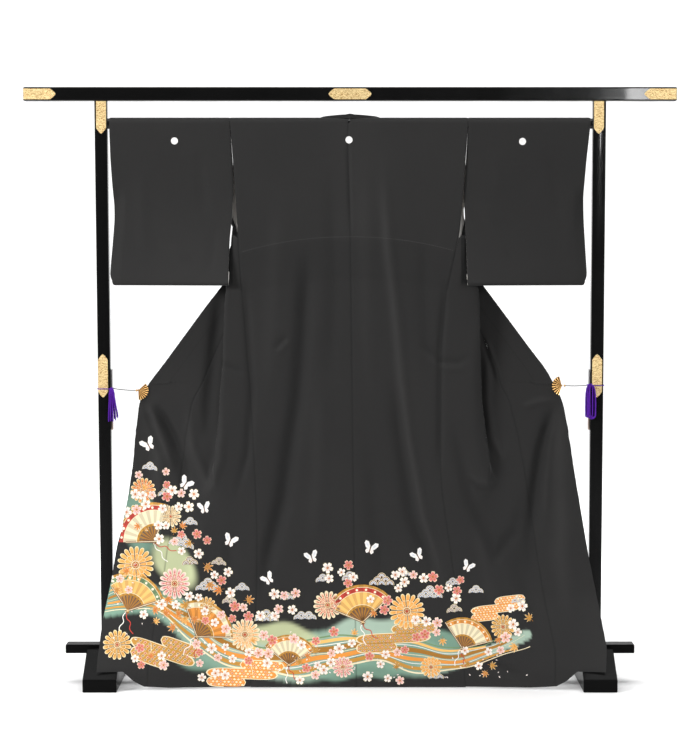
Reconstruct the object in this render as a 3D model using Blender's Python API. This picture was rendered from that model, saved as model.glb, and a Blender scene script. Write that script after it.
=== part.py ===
import math

import bmesh
import bpy
import numpy as np
from mathutils import Matrix, Vector

# A black formal kimono seen from its back, hung over the bar of a lacquered stand.
# Metres. X runs across the stand, Z is up, and the garment's back faces -Y.
# Widths in the tables are distances outward from the stand's middle.

GAP = 0.0003
CLOTH = 0.0015

BAR_RADIUS = 0.015
BAR_Z = 1.567
WRAP_STEPS = 8
WRAP_RADIUS = (BAR_RADIUS + GAP) / math.cos(math.pi / WRAP_STEPS / 2) + CLOTH / 2

BEAM_LENGTH = 1.812
BEAM_DEPTH = 0.036
BEAM_TOP = 1.667
BEAM_HEIGHT = 0.0385

UPRIGHT_X = 0.690
UPRIGHT_WIDTH = 0.032
UPRIGHT_DEPTH = 0.030

FOOT_WIDTH = 0.094
FOOT_HALF_LENGTH = 0.155
FOOT_TOE_HEIGHT = 0.035
FOOT_TOP_HEIGHT = 0.100
FOOT_FLAT_HALF = 0.052

PLANK_LENGTH = 1.600
PLANK_DEPTH = 0.050
PLANK_HEIGHT = 0.025
PLANK_TOP = 0.109

PLATE_THICKNESS = 0.001
STRIP_SIZE = (0.005, 0.018, 0.170)
STRIP_Z = 0.7985

HEM_Z = 0.004
HEM_LIFT_TOP_Z = 0.22
BACK_LEAN = 0.0536
OPENING_END_Z = 1.262
COLLAR_WIDTH = 0.055
SECOND_TURN = 0.007
FIRST_LEG = 0.030
MIDDLE_LEG = 0.050
SWING_LOW_Z = 1.365
SWING_HIGH_Z = 1.505
SWING_REACH = 0.012
LEAST_STEP = 0.006
FLAP_AT_NECK = 0.0580
FOLDED_Z = 0.64
SPREAD_Z = 0.42
COLLAR_END_Z = 0.8458
OKUMI_TOP_Z = 1.336
NECK_HALF_WIDTH = 0.085
NECK_TUCK = 0.0008
NECK_TUCK_DEGREES = 41
SLEEVE_BOTTOM_Z = 1.118
CUFF_OPENING = 0.230

CLIP_RADIUS = 0.033
CLIP_SPREAD = math.radians(114)
CLIP_HALF_GAP = 0.0022
CLIP_PLATE = 0.0010
PINCH_NEAR = 0.035
PINCH_FAR = 0.075

BLACK_SILK = ("black_silk", (0.030, 0.029, 0.028), 0.80, 0.0)
LACQUER = ("black_lacquer", (0.006, 0.006, 0.006), 0.12, 0.0)
GILT = ("gilt_brass", (0.80, 0.52, 0.16), 0.32, 1.0)
STEEL = ("dark_steel", (0.20, 0.19, 0.18), 0.38, 1.0)
PURPLE = ("purple_silk", (0.11, 0.02, 0.42), 0.65, 0.0)
CORD_GREY = ("grey_cord", (0.10, 0.10, 0.11), 0.70, 0.0)


def table(columns, *rows):
    rows = sorted(rows)
    names = columns.split()
    return {name: [row[k] for row in rows] for k, name in enumerate(names)}


def read(chart, column, z):
    # A short average along z rounds the corners of the straight runs between rows.
    step = 0.012
    return sum(float(np.interp(z + d, chart["z"], chart[column])) for d in (-step, 0, step)) / 3


def ease(low, high, value):
    t = min(max((value - low) / (high - low), 0.0), 1.0)
    return t * t * (3 - 2 * t)


# One row for each height. seam: side seam. turn: how far the front runs on past the seam before
# it folds behind. edge: free front edge.
LEFT = table(
    "z seam turn edge",
    (1.583, 0.3345, 0.000, 0.030),
    (1.466, 0.3245, 0.000, 0.078),
    (1.391, 0.3205, 0.000, 0.145),
    (1.350, 0.3165, 0.000, 0.182),
    (1.261, 0.3115, 0.000, 0.249),
    (1.225, 0.3092, 0.002, 0.2763),
    (1.119, 0.3020, 0.036, 0.3566),
    (1.056, 0.2955, 0.049, 0.4055),
    (0.900, 0.2830, 0.066, 0.5200),
    (0.842, 0.2770, 0.077, 0.5648),
    (0.797, 0.2750, 0.081, 0.5896),
    (0.755, 0.2720, 0.084, 0.5951),
    (0.698, 0.2690, 0.092, 0.6020),
    (0.630, 0.2650, 0.104, 0.6060),
    (0.526, 0.2600, 0.118, 0.6212),
    (0.435, 0.2580, 0.120, 0.6395),
    (0.391, 0.2580, 0.120, 0.6513),
    (0.295, 0.2590, 0.120, 0.6667),
    (0.187, 0.2620, 0.120, 0.6882),
    (0.074, 0.2700, 0.120, 0.6997),
    (0.000, 0.2770, 0.120, 0.7045),
)
RIGHT = table(
    "z seam turn edge",
    (1.583, 0.3290, 0.000, 0.030),
    (1.466, 0.3205, 0.000, 0.082),
    (1.372, 0.3142, 0.000, 0.176),
    (1.261, 0.3035, 0.000, 0.2645),
    (1.225, 0.2950, 0.001, 0.2916),
    (1.180, 0.2850, 0.032, 0.3255),
    (1.106, 0.2685, 0.085, 0.3815),
    (0.940, 0.2540, 0.104, 0.5050),
    (0.881, 0.2535, 0.106, 0.5504),
    (0.797, 0.2525, 0.108, 0.5952),
    (0.755, 0.2520, 0.112, 0.6036),
    (0.713, 0.2515, 0.118, 0.6118),
    (0.630, 0.2515, 0.128, 0.6228),
    (0.546, 0.2560, 0.134, 0.6366),
    (0.463, 0.2680, 0.130, 0.6502),
    (0.380, 0.2800, 0.125, 0.6635),
    (0.243, 0.2990, 0.120, 0.6900),
    (0.137, 0.3100, 0.120, 0.7087),
    (0.098, 0.3140, 0.120, 0.7140),
    (0.000, 0.3220, 0.120, 0.7100),
)
SIDES = {-1: LEFT, 1: RIGHT}

# layer: half the gap between two layers of cloth. fold: how far in the front's inner fold lies.
# overlap: width of collar and okumi together. edge_y: depth of the free edge.
DRAPE = table(
    "z layer fold overlap edge_y",
    (1.567, WRAP_RADIUS, 0.0880, 0.0553, 0.0190),
    (1.450, 0.0140, 0.0920, 0.0553, 0.0180),
    (1.365, 0.0110, 0.0980, 0.0553, 0.0170),
    (1.340, 0.0100, 0.1000, 0.0562, 0.0165),
    (1.300, 0.0085, 0.1040, 0.0610, 0.0160),
    (1.200, 0.0055, 0.1160, 0.0720, 0.0145),
    (1.130, 0.0050, 0.1250, 0.0810, 0.0135),
    (1.020, 0.0050, 0.1650, 0.0950, 0.0100),
    (0.900, 0.0050, 0.2050, 0.1300, 0.0040),
    (0.840, 0.0060, 0.2350, 0.1520, 0.0000),
    (0.750, 0.0080, 0.3000, 0.1470, -0.0080),
    (0.690, 0.0090, 0.3550, 0.1430, -0.0132),
    (0.650, 0.0090, 0.3880, 0.1410, -0.0168),
    (0.600, 0.0090, 0.4000, 0.1390, -0.0212),
    (0.500, 0.0080, 0.4000, 0.1410, -0.0300),
    (0.250, 0.0080, 0.4000, 0.1480, -0.0650),
    (0.050, 0.0080, 0.4000, 0.1430, -0.1400),
    (0.000, 0.0080, 0.4000, 0.1430, -0.1420),
)

# The centre back seam wanders a little.
CENTRE = table("z x", (1.583, -0.0050), (1.510, -0.0060), (1.261, 0.0014), (0.357, 0.0125), (0.0, 0.0180))

# Lift of the hem off the floor, outward from the middle: the corners rest on the feet.
HEM_REACH = (0.0, 0.500, 0.571, 0.600, 0.632, 0.720)
HEM_LIFT = (0.0, 0.002, 0.007, 0.022, 0.0490, 0.0490)

# The largest folds: height towards the viewer (minus is a valley), width, the heights between
# which it is full and those at which it has gone, and its run as pairs of z and x.
FOLDS = (
    (-0.0120, 0.022, 1.24, 1.05, 0.42, 0.22,
     table("z x", (1.24, -0.1207), (1.10, -0.1263), (0.97, -0.1318), (0.80, -0.1458), (0.66, -0.1680),
           (0.52, -0.1875), (0.38, -0.2236), (0.27, -0.2459))),
    (0.0080, 0.018, 1.50, 1.20, 0.46, 0.20,
     table("z x", (1.52, 0.0901), (1.35, 0.0985), (1.21, 0.1096), (1.02, 0.1318), (0.86, 0.1457),
           (0.69, 0.1652), (0.47, 0.2070), (0.30, 0.2626), (0.20, 0.3100))),
    (-0.0070, 0.020, 0.90, 0.70, 0.42, 0.28,
     table("z x", (0.90, 0.1150), (0.71, 0.1360), (0.47, 0.1720), (0.35, 0.2210))),
    (-0.0050, 0.010, 1.16, 1.02, 0.70, 0.55,
     table("z x", (1.11, 0.2640), (0.94, 0.2500), (0.58, 0.2480))),
    (-0.0050, 0.012, 1.16, 1.02, 0.66, 0.50,
     table("z x", (1.10, -0.2900), (0.82, -0.2720), (0.65, -0.2850), (0.51, -0.3230))),
    (-0.0100, 0.024, 0.80, 0.70, 0.48, 0.25,
     table("z x", (0.80, 0.5720), (0.57, 0.5250), (0.41, 0.5000), (0.25, 0.5100))),
    (0.0070, 0.022, 0.80, 0.70, 0.40, 0.20,
     table("z x", (0.80, 0.5900), (0.36, 0.5980), (0.20, 0.6200))),
    (-0.0080, 0.018, 0.80, 0.72, 0.62, 0.45,
     table("z x", (0.80, -0.5500), (0.69, -0.4930), (0.55, -0.4600))),
    (0.0060, 0.018, 0.80, 0.70, 0.55, 0.35,
     table("z x", (0.80, -0.5700), (0.68, -0.5350), (0.40, -0.5300))),
)


def fold_height(x, z):
    total = 0.0
    for height, width, gone_top, full_top, full_low, gone_low, run in FOLDS:
        fade = ease(gone_low, full_low, z) * (1 - ease(full_top, gone_top, z))
        if fade > 0:
            away = (x - read(run, "x", z)) / width
            total += height * fade * math.exp(-away * away)
    return total


def back_lean(z):
    return -WRAP_RADIUS - (BAR_Z - z) * BACK_LEAN


def back_point(side, out, z):
    x = side * out
    return Vector((x, back_lean(z) - fold_height(x, z), z))


def smooth_line(points):
    # Corner cutting, three times, with the ends kept.
    for _ in range(3):
        cut = [points[0]]
        for a, b in zip(points, points[1:]):
            cut += [a * 0.75 + b * 0.25, a * 0.25 + b * 0.75]
        points = np.array(cut + [points[-1]])
    return points


# Run and rise of the flap beyond the front's inner fold. Low down its end is the free edge; towards
# the neck it keeps the collar's width and swings round until it points inward.
def flap_reach(side, z):
    low = min(z, SWING_LOW_Z)
    run = read(SIDES[side], "edge", low) - read(DRAPE, "fold", low)
    start = 2 * read(DRAPE, "layer", low) + 2 * SECOND_TURN
    rise = read(DRAPE, "edge_y", low) - back_lean(low) - start
    swing = ease(SWING_LOW_Z, SWING_HIGH_Z, z)
    share = min(max((z - SWING_LOW_Z) / (BAR_Z - SWING_LOW_Z), 0.0), 1.0)
    length = math.hypot(run, rise) * (1 - share) + FLAP_AT_NECK * share
    angle = math.atan2(rise, run)
    angle += (math.pi - angle) * swing
    return length * math.cos(angle), length * math.sin(angle), rise * (1 - swing), swing


# Plan of one front at one height, from the side seam to the free edge, as outward distance, depth
# behind the back panel and mark number. High up the front lies behind the back and its edge is
# turned out again; low down it is spread flat. Beside the side opening it starts on its own layer.
def front_plan(side, z):
    chart = SIDES[side]
    seam = read(chart, "seam", z)
    turn = read(chart, "turn", z)
    edge = read(chart, "edge", z)
    half = read(DRAPE, "layer", z)
    fold = read(DRAPE, "fold", z)
    near = 2 * half
    away = near + 2 * SECOND_TURN
    far = seam + turn + half
    run, rise, bow, swing = flap_reach(side, z)

    # The first leg stands on end where the fold at the side dies out, and so does the middle leg
    # where the inner fold meets the outer one.
    first = ease(0, FIRST_LEG, turn)
    middle = ease(0, MIDDLE_LEG, far - fold)
    tight = SECOND_TURN * (1 - swing)
    base = away * (1 - swing) + near * swing
    clear = CLOTH * (1 - first)
    legs = [(seam + clear, 0), (seam + turn / 2 + clear, near * (1 - first) / 3),
            (far, near * (1 - first) * 2 / 3), (far, near), ((far + fold) / 2, near),
            (fold - tight + SWING_REACH * swing, near), (fold - tight, base)]
    for k in range(2, 7):
        stood = (far, away * (k - 2) / 4)
        legs[k] = tuple(m * middle + n * (1 - middle) for m, n in zip(legs[k], stood))
    outer = [(fold + run * k / 4, base + rise * k / 4 + bow * k / 4 * (1 - k / 4)) for k in (1, 2, 3, 4)]
    folded = np.array(legs + outer)
    loose = np.array([(seam - LEAST_STEP * k, near) for k in range(4)] + legs[4:] + outer)
    edge_depth = read(DRAPE, "edge_y", z) - back_lean(z)
    spread = np.array([(seam + (edge - seam) * k / 10, edge_depth * (k / 10) ** 1.3) for k in range(11)])

    at_opening = ease(OPENING_END_Z - 0.040, OPENING_END_Z, z)
    plan = folded * (1 - at_opening) + loose * at_opening
    opened = 1 - ease(SPREAD_Z, FOLDED_Z, z)
    marked = np.column_stack((plan * (1 - opened) + spread * opened, np.arange(11)))
    return smooth_line(marked)


PLANS = {}


def front_line(side, z):
    key = (side, round(z, 6))
    if key not in PLANS:
        plan = front_plan(side, z)
        lengths = np.concatenate(([0.0], np.cumsum(np.hypot(*np.diff(plan[:, :2], axis=0).T))))
        PLANS[key] = (plan, lengths)
    return PLANS[key]


def front_length(side, z):
    return front_line(side, z)[1][-1]


def clip_flat(side, out, z):
    # The cloth is pinched flat between the two halves of the clip.
    pivot = CLIP_PIVOTS[side]
    return 1 - ease(PINCH_NEAR, PINCH_FAR, math.hypot(out - side * pivot[0], z - pivot[1]))


def front_point(side, along, z):
    z = min(max(z, HEM_Z), BAR_Z)
    plan, lengths = front_line(side, z)
    along = min(max(along, 0.0), lengths[-1])
    out = float(np.interp(along, lengths, plan[:, 0]))
    behind = float(np.interp(along, lengths, plan[:, 1]))
    x = side * out
    y = back_lean(z) + behind - fold_height(x, z)
    flat = clip_flat(side, out, z)
    return Vector((x, y * (1 - flat) + CLIP_Y * flat, z))


def hem_lift(side, along, length, z):
    chart = SIDES[side]
    seam = read(chart, "seam", 0.0)
    edge = read(chart, "edge", 0.0)
    out = seam + (edge - seam) * along / length
    return float(np.interp(out, HEM_REACH, HEM_LIFT)) * (1 - ease(HEM_Z, HEM_LIFT_TOP_Z, z))


def normal_of(point_at, u, v, step=0.002):
    across = point_at(u + step, v) - point_at(u - step, v)
    up = point_at(u, v + step) - point_at(u, v - step)
    return across.cross(up).normalized()


def link(name, data, material):
    label, colour, roughness, metallic = material
    shader = bpy.data.materials.get(label)
    if shader is None:
        shader = bpy.data.materials.new(label)
        shader.use_nodes = True
        principled = shader.node_tree.nodes["Principled BSDF"]
        principled.inputs["Base Color"].default_value = (*colour, 1)
        principled.inputs["Roughness"].default_value = roughness
        principled.inputs["Metallic"].default_value = metallic
        shader.diffuse_color = (*colour, 1)
    data.materials.append(shader)
    piece = bpy.data.objects.new(name, data)
    bpy.context.scene.collection.objects.link(piece)
    return piece


def face_out(mesh):
    shape = bmesh.new()
    shape.from_mesh(mesh)
    bmesh.ops.recalc_face_normals(shape, faces=shape.faces)
    if shape.calc_volume(signed=True) < 0:
        bmesh.ops.reverse_faces(shape, faces=shape.faces)
    shape.to_mesh(mesh)
    shape.free()


# A wall of cloth round a grid of points and normals; a ring's last row joins its first.
def cloth_wall(name, points, normals, ring=False):
    rows, columns = len(points), len(points[0])
    half = CLOTH / 2
    flat = [p + n * half for row, ns in zip(points, normals) for p, n in zip(row, ns)]
    flat += [p - n * half for row, ns in zip(points, normals) for p, n in zip(row, ns)]
    under = rows * columns

    def at(row, column, layer):
        return (row % rows) * columns + column + layer * under

    faces = []
    for r in range(rows if ring else rows - 1):
        for c in range(columns - 1):
            faces.append([at(r, c, 0), at(r, c + 1, 0), at(r + 1, c + 1, 0), at(r + 1, c, 0)])
            faces.append([at(r, c, 1), at(r + 1, c, 1), at(r + 1, c + 1, 1), at(r, c + 1, 1)])
        for c in (0, columns - 1):
            faces.append([at(r, c, 0), at(r + 1, c, 0), at(r + 1, c, 1), at(r, c, 1)])
    if not ring:
        for r in (0, rows - 1):
            for c in range(columns - 1):
                faces.append([at(r, c, 0), at(r, c + 1, 0), at(r, c + 1, 1), at(r, c, 1)])
    mesh = bpy.data.meshes.new(name)
    mesh.from_pydata([tuple(v) for v in flat], [], faces)
    mesh.update()
    face_out(mesh)
    mesh.shade_smooth()
    mesh.set_sharp_from_angle(angle=math.radians(50))
    return link(name, mesh, BLACK_SILK)


# Heights of the rows; close together where the body opens at the side and where the collar ends.
# Above the opening the front has its own rows, closest where the flap swings round.
ROWS = [HEM_Z, 0.06, 0.12, 0.19, 0.26, 0.33, 0.40, 0.46, 0.51, 0.55, 0.59, 0.63, 0.67, 0.71, 0.75, 0.79,
        0.842, 0.845, 0.90, 0.96, 1.03, 1.10, 1.16, 1.20, 1.225, 1.245, 1.265]
BACK_ROWS = ROWS + [1.32, 1.38, 1.44, 1.51, BAR_Z]
FRONT_ROWS = ROWS + [1.29, 1.315, 1.336, 1.36, 1.38, 1.40, 1.42, 1.44, 1.46, 1.48, 1.50, 1.53, BAR_Z]
BODY_COLUMNS = 13


def neck_reach(angle):
    return NECK_HALF_WIDTH * ease(math.radians(40), math.radians(100), angle)


def wrap_point(out, angle, side, radius=WRAP_RADIUS):
    return Vector((side * out, -radius * math.cos(angle), BAR_Z + radius * math.sin(angle)))


# Columns of the front lie close together where the cloth turns: places along the plan's marks.
TURN_MARKS = (0, 1.0, 1.9, 2.5, 3.1, 4.0, 4.9, 5.5, 6.1, 6.9)


def front_columns(side, z):
    plan, lengths = front_line(side, z)
    last = lengths[-1] - read(DRAPE, "overlap", z) - GAP / 2
    columns = [float(np.interp(mark, plan[:, 2], lengths)) for mark in TURN_MARKS]
    rest = BODY_COLUMNS - len(columns)
    columns += [columns[-1] + (last - columns[-1]) * (k + 1) / rest for k in range(rest)]
    columns = [min(along, last - LEAST_STEP * (BODY_COLUMNS - 1 - k)) for k, along in enumerate(columns)]
    columns[0] = GAP / 2
    columns[-1] = last
    return columns


def build_body(side):
    def back_at(out, z):
        return back_point(side, out, min(z, BAR_Z))

    def front_at(along, z):
        return front_point(side, along, z)

    points, normals = [], []
    shares = [k / (BODY_COLUMNS - 1) for k in range(BODY_COLUMNS)]
    for z in BACK_ROWS:
        inside = side * read(CENTRE, "x", z) + GAP / 2
        outside = read(SIDES[side], "seam", z) - GAP / 2
        outs = [inside + (outside - inside) * (1 - share) for share in shares]
        points.append([back_at(out, z) for out in outs])
        normals.append([normal_of(back_at, out, z) for out in outs])
    top_outs = outs
    front_top = [abs(front_at(along, BAR_Z).x) for along in front_columns(side, BAR_Z)]
    for k in range(1, WRAP_STEPS):
        angle = math.pi * k / WRAP_STEPS
        share = k / WRAP_STEPS
        inside = max(neck_reach(angle), side * read(CENTRE, "x", BAR_Z) + GAP / 2)
        row = []
        for back_out, front_out in zip(top_outs, front_top):
            out = back_out * (1 - share) + front_out * share
            first, last = top_outs[0] * (1 - share) + front_top[0] * share, top_outs[-1] * (1 - share)
            last += front_top[-1] * share
            row.append(inside + (out - last) * (first - inside) / (first - last))
        points.append([wrap_point(out, angle, side) for out in row])
        outward = Vector((0, -math.cos(angle), math.sin(angle))) * side
        normals.append([outward] * BODY_COLUMNS)
    for z in reversed(FRONT_ROWS):
        length = front_length(side, z)
        row, row_normals = [], []
        for along in front_columns(side, z):
            height = z + hem_lift(side, along, length, z)
            row.append(front_at(along, height))
            row_normals.append(normal_of(front_at, along, height))
        points.append(row)
        normals.append(row_normals)
    return cloth_wall("body_left" if side < 0 else "body_right", points, normals)


OKUMI_COLUMNS = 5


def build_okumi(side):
    def front_at(along, z):
        return front_point(side, along, z)

    points, normals = [], []
    for z in [z for z in FRONT_ROWS if z <= OKUMI_TOP_Z]:
        length = front_length(side, z)
        inside = length - read(DRAPE, "overlap", z) + GAP / 2
        outside = length if z < COLLAR_END_Z - 0.002 else length - COLLAR_WIDTH - GAP / 2
        row, row_normals = [], []
        for k in range(OKUMI_COLUMNS):
            along = inside + (outside - inside) * k / (OKUMI_COLUMNS - 1)
            height = z + hem_lift(side, along, length, z)
            row.append(front_at(along, height))
            row_normals.append(normal_of(front_at, along, height))
        points.append(row)
        normals.append(row_normals)
    return cloth_wall("okumi_left" if side < 0 else "okumi_right", points, normals)


COLLAR_COLUMNS = 5
COLLAR_ROWS = [COLLAR_END_Z] + [z for z in FRONT_ROWS if COLLAR_END_Z < z < BAR_Z]

# Round the neck: for each angle of the seam over the bar, the band's crown and its free edge.
NECK_BAND = table(
    "z crown_x crown_y crown_z free_x free_y free_z",
    (180, 0.066, 0.0185, 1.567, 0.0430, 0.0185, 1.541),
    (145, 0.064, 0.0195, 1.586, 0.0370, 0.0210, 1.547),
    (115, 0.061, 0.0160, 1.595, 0.0310, 0.0230, 1.550),
    (95, 0.055, 0.0125, 1.600, 0.0250, 0.0240, 1.551),
    (78, 0.040, 0.0085, 1.606, 0.0180, 0.0245, 1.551),
    (63, 0.022, 0.0060, 1.612, 0.0100, 0.0250, 1.550),
    (40, 0.000, 0.0045, 1.617, 0.0000, 0.0250, 1.549),
)
NECK_STEPS = 6
NECK_SEAM_TURN = math.radians(5)


def band_curve(seam, crown, free, share):
    near = seam * (1 - share) + crown * share
    far = crown * (1 - share) + free * share
    return near * (1 - share) + far * share


def collar_station(side, number):
    shares = [k / (COLLAR_COLUMNS - 1) for k in range(COLLAR_COLUMNS)]
    if number < len(COLLAR_ROWS):
        z = COLLAR_ROWS[number]
        length = front_length(side, z)
        start = length - COLLAR_WIDTH + GAP / 2
        return [front_point(side, start + (length - start) * share, z) for share in shares]
    return neck_station(side, 180 * (1 - (number - len(COLLAR_ROWS)) / WRAP_STEPS))


def neck_station(side, degrees):
    angle = math.radians(degrees)
    out = neck_reach(angle) - NECK_TUCK if degrees > NECK_TUCK_DEGREES else 0.0
    seam = wrap_point(out, angle + NECK_SEAM_TURN * (1 - ease(1.6, 2.1, angle)), side)
    crown, free = (Vector([read(NECK_BAND, part + axis, degrees) for axis in ("_x", "_y", "_z")])
                   for part in ("crown", "free"))
    for place in (crown, free):
        place.x *= side
    shares = [k / (COLLAR_COLUMNS - 1) for k in range(COLLAR_COLUMNS)]
    return [band_curve(seam, crown, free, share) for share in shares]


def build_collar():
    count = len(COLLAR_ROWS) + NECK_STEPS + 1
    middle = neck_station(1, 40)
    left = [collar_station(-1, k) for k in range(count)]
    right = [collar_station(1, k) for k in range(count)]
    points = left + [middle] + right[::-1]
    normals = []
    for r, row in enumerate(points):
        before = points[max(r - 1, 0)]
        after = points[min(r + 1, len(points) - 1)]
        line = []
        for c in range(COLLAR_COLUMNS):
            across = row[min(c + 1, COLLAR_COLUMNS - 1)] - row[max(c - 1, 0)]
            line.append(across.cross(after[c] - before[c]).normalized())
        normals.append(line)
    # On the flat stretches the wall takes the same normals as the pieces it is sewn to.
    for r, z in enumerate(COLLAR_ROWS):
        for side, index in ((-1, r), (1, len(points) - 1 - r)):
            length = front_length(side, z)
            start = length - COLLAR_WIDTH + GAP / 2

            def front_at(along, height):
                return front_point(side, along, height)

            for c in range(COLLAR_COLUMNS):
                along = start + (length - start) * c / (COLLAR_COLUMNS - 1)
                normals[index][c] = normal_of(front_at, along, z) * -side
    return cloth_wall("collar", points, normals)


# Sleeves: outward distance of the sewn or open inner edge and of the cuff edge at each height.
SLEEVE_LEFT = table(
    "z inner outer",
    (1.600, 0.3362, 0.6690), (1.466, 0.3262, 0.6650), (1.391, 0.3225, 0.6600), (1.340, 0.3262, 0.6560),
    (1.300, 0.3280, 0.6555), (1.250, 0.3330, 0.6595), (1.170, 0.3360, 0.6665), (1.140, 0.3360, 0.6680),
    (1.118, 0.3360, 0.6600),
)
SLEEVE_RIGHT = table(
    "z inner outer",
    (1.600, 0.3307, 0.6705), (1.466, 0.3222, 0.6565), (1.372, 0.3160, 0.6490), (1.300, 0.3190, 0.6505),
    (1.250, 0.3210, 0.6535), (1.170, 0.3240, 0.6585), (1.140, 0.3240, 0.6600), (1.118, 0.3250, 0.6520),
)
SLEEVE_SHARES = (0, 0.06, 0.2, 0.36, 0.52, 0.68, 0.82, 0.92, 0.97, 1.0)
SLEEVE_LEVELS = (1.50, 1.44, 1.38, 1.33, 1.27, 1.21, 1.16, 1.13)
SLEEVE_LEAN = 0.064
LEAN_POWER = 2.2
LEAN_AT_CUFF = 0.25
SLEEVE_HALF_LOW = 0.0055
SLEEVE_SEAM_SHARE = 0.90
SLEEVE_SEAM_RUN = 0.06
SLEEVE_SLACK = 0.0018
SLACK_LOW_Z = 1.13
SLACK_HIGH_Z = 1.21
TURN_RISE = 0.008
TURN_RADIUS = 0.0075


def sleeve_lean(z, share):
    # The inner lower corner hangs in front of the body's side fold, the cuff nearly straight down.
    dropped = min(max((BAR_Z - z) / (BAR_Z - SLEEVE_BOTTOM_Z), 0.0), 1.0)
    return -SLEEVE_LEAN * dropped ** LEAN_POWER * (1 - (1 - LEAN_AT_CUFF) * share)


def sleeve_depth(z, share):
    # Half the distance between the two layers: wide over the bar, pinched shut below the cuff.
    wider = WRAP_RADIUS - SLEEVE_HALF_LOW
    half = SLEEVE_HALF_LOW + wider * ease(SLEEVE_BOTTOM_Z, BAR_Z, z) ** 1.5
    cuff_z = BAR_Z - CUFF_OPENING
    sewn = ease(SLEEVE_SEAM_SHARE, 1.0, share) * (1 - ease(cuff_z, cuff_z + SLEEVE_SEAM_RUN, z))
    shut = CLOTH / 2 + GAP + SLEEVE_SLACK * (1 - ease(SLACK_LOW_Z, SLACK_HIGH_Z, z))
    return half * (1 - sewn) + shut * sewn


def sleeve_ring():
    # Each step is a side of the bar (-1 near the viewer) and a height, or an angle over the bar.
    ring = [("hang", -1, z) for z in (BAR_Z,) + SLEEVE_LEVELS]
    ring += [("turn", angle, None) for angle in (-45, -90, -135)]
    ring += [("hang", 1, z) for z in reversed((BAR_Z,) + SLEEVE_LEVELS)]
    ring += [("over", 180 * k / WRAP_STEPS, None) for k in range(WRAP_STEPS - 1, 0, -1)]
    return ring


def build_sleeve(side):
    chart = SLEEVE_LEFT if side < 0 else SLEEVE_RIGHT
    points = []
    for kind, first, z in sleeve_ring():
        row = []
        for share in SLEEVE_SHARES:
            height = z if kind == "hang" else (BAR_Z if kind == "over" else SLEEVE_BOTTOM_Z + 0.004)
            out = read(chart, "inner", height) * (1 - share) + read(chart, "outer", height) * share
            if kind == "hang":
                depth = first * sleeve_depth(height, share) + sleeve_lean(height, share)
                row.append(Vector((side * out, depth, height)))
            elif kind == "over":
                row.append(wrap_point(out, math.radians(first), side))
            else:
                depth = sleeve_depth(SLEEVE_BOTTOM_Z + 0.01, share)
                angle = math.radians(first)
                lean = sleeve_lean(SLEEVE_BOTTOM_Z, share)
                row.append(Vector((side * out, lean - depth * math.cos(angle),
                                   SLEEVE_BOTTOM_Z + TURN_RISE + TURN_RADIUS * math.sin(angle))))
        points.append(row)
    count = len(points)
    normals = []
    for r, row in enumerate(points):
        line = []
        for c in range(len(row)):
            along = points[(r + 1) % count][c] - points[r - 1][c]
            line.append(Vector((side, 0, 0)).cross(along).normalized())
        normals.append(line)
    return cloth_wall("sleeve_left" if side < 0 else "sleeve_right", points, normals, ring=True)


def bevelled(piece, width, segments=2):
    bevel = piece.modifiers.new("edges", "BEVEL")
    bevel.width = width
    bevel.segments = segments
    bevel.limit_method = "ANGLE"
    bevel.angle_limit = math.radians(40)
    return piece


def build_box(name, centre, size, material, bevel=0.0):
    shape = bmesh.new()
    place = Matrix.Translation(centre) @ Matrix.Diagonal((*size, 1))
    bmesh.ops.create_cube(shape, size=1.0, matrix=place)
    mesh = bpy.data.meshes.new(name)
    shape.to_mesh(mesh)
    shape.free()
    piece = link(name, mesh, material)
    return bevelled(piece, bevel) if bevel else piece


# A flat outline, as pairs in one plane, pushed through from low to high along the third axis.
def build_slab(name, outline, low, high, axis, material):
    def place(a, b, c):
        return {"x": (c, a, b), "y": (a, c, b)}[axis]

    count = len(outline)
    corners = [place(a, b, low) for a, b in outline] + [place(a, b, high) for a, b in outline]
    faces = [list(range(count)), list(range(2 * count - 1, count - 1, -1))]
    faces += [[k, (k + 1) % count, count + (k + 1) % count, count + k] for k in range(count)]
    mesh = bpy.data.meshes.new(name)
    mesh.from_pydata(corners, [], faces)
    face_out(mesh)
    return link(name, mesh, material)


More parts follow.
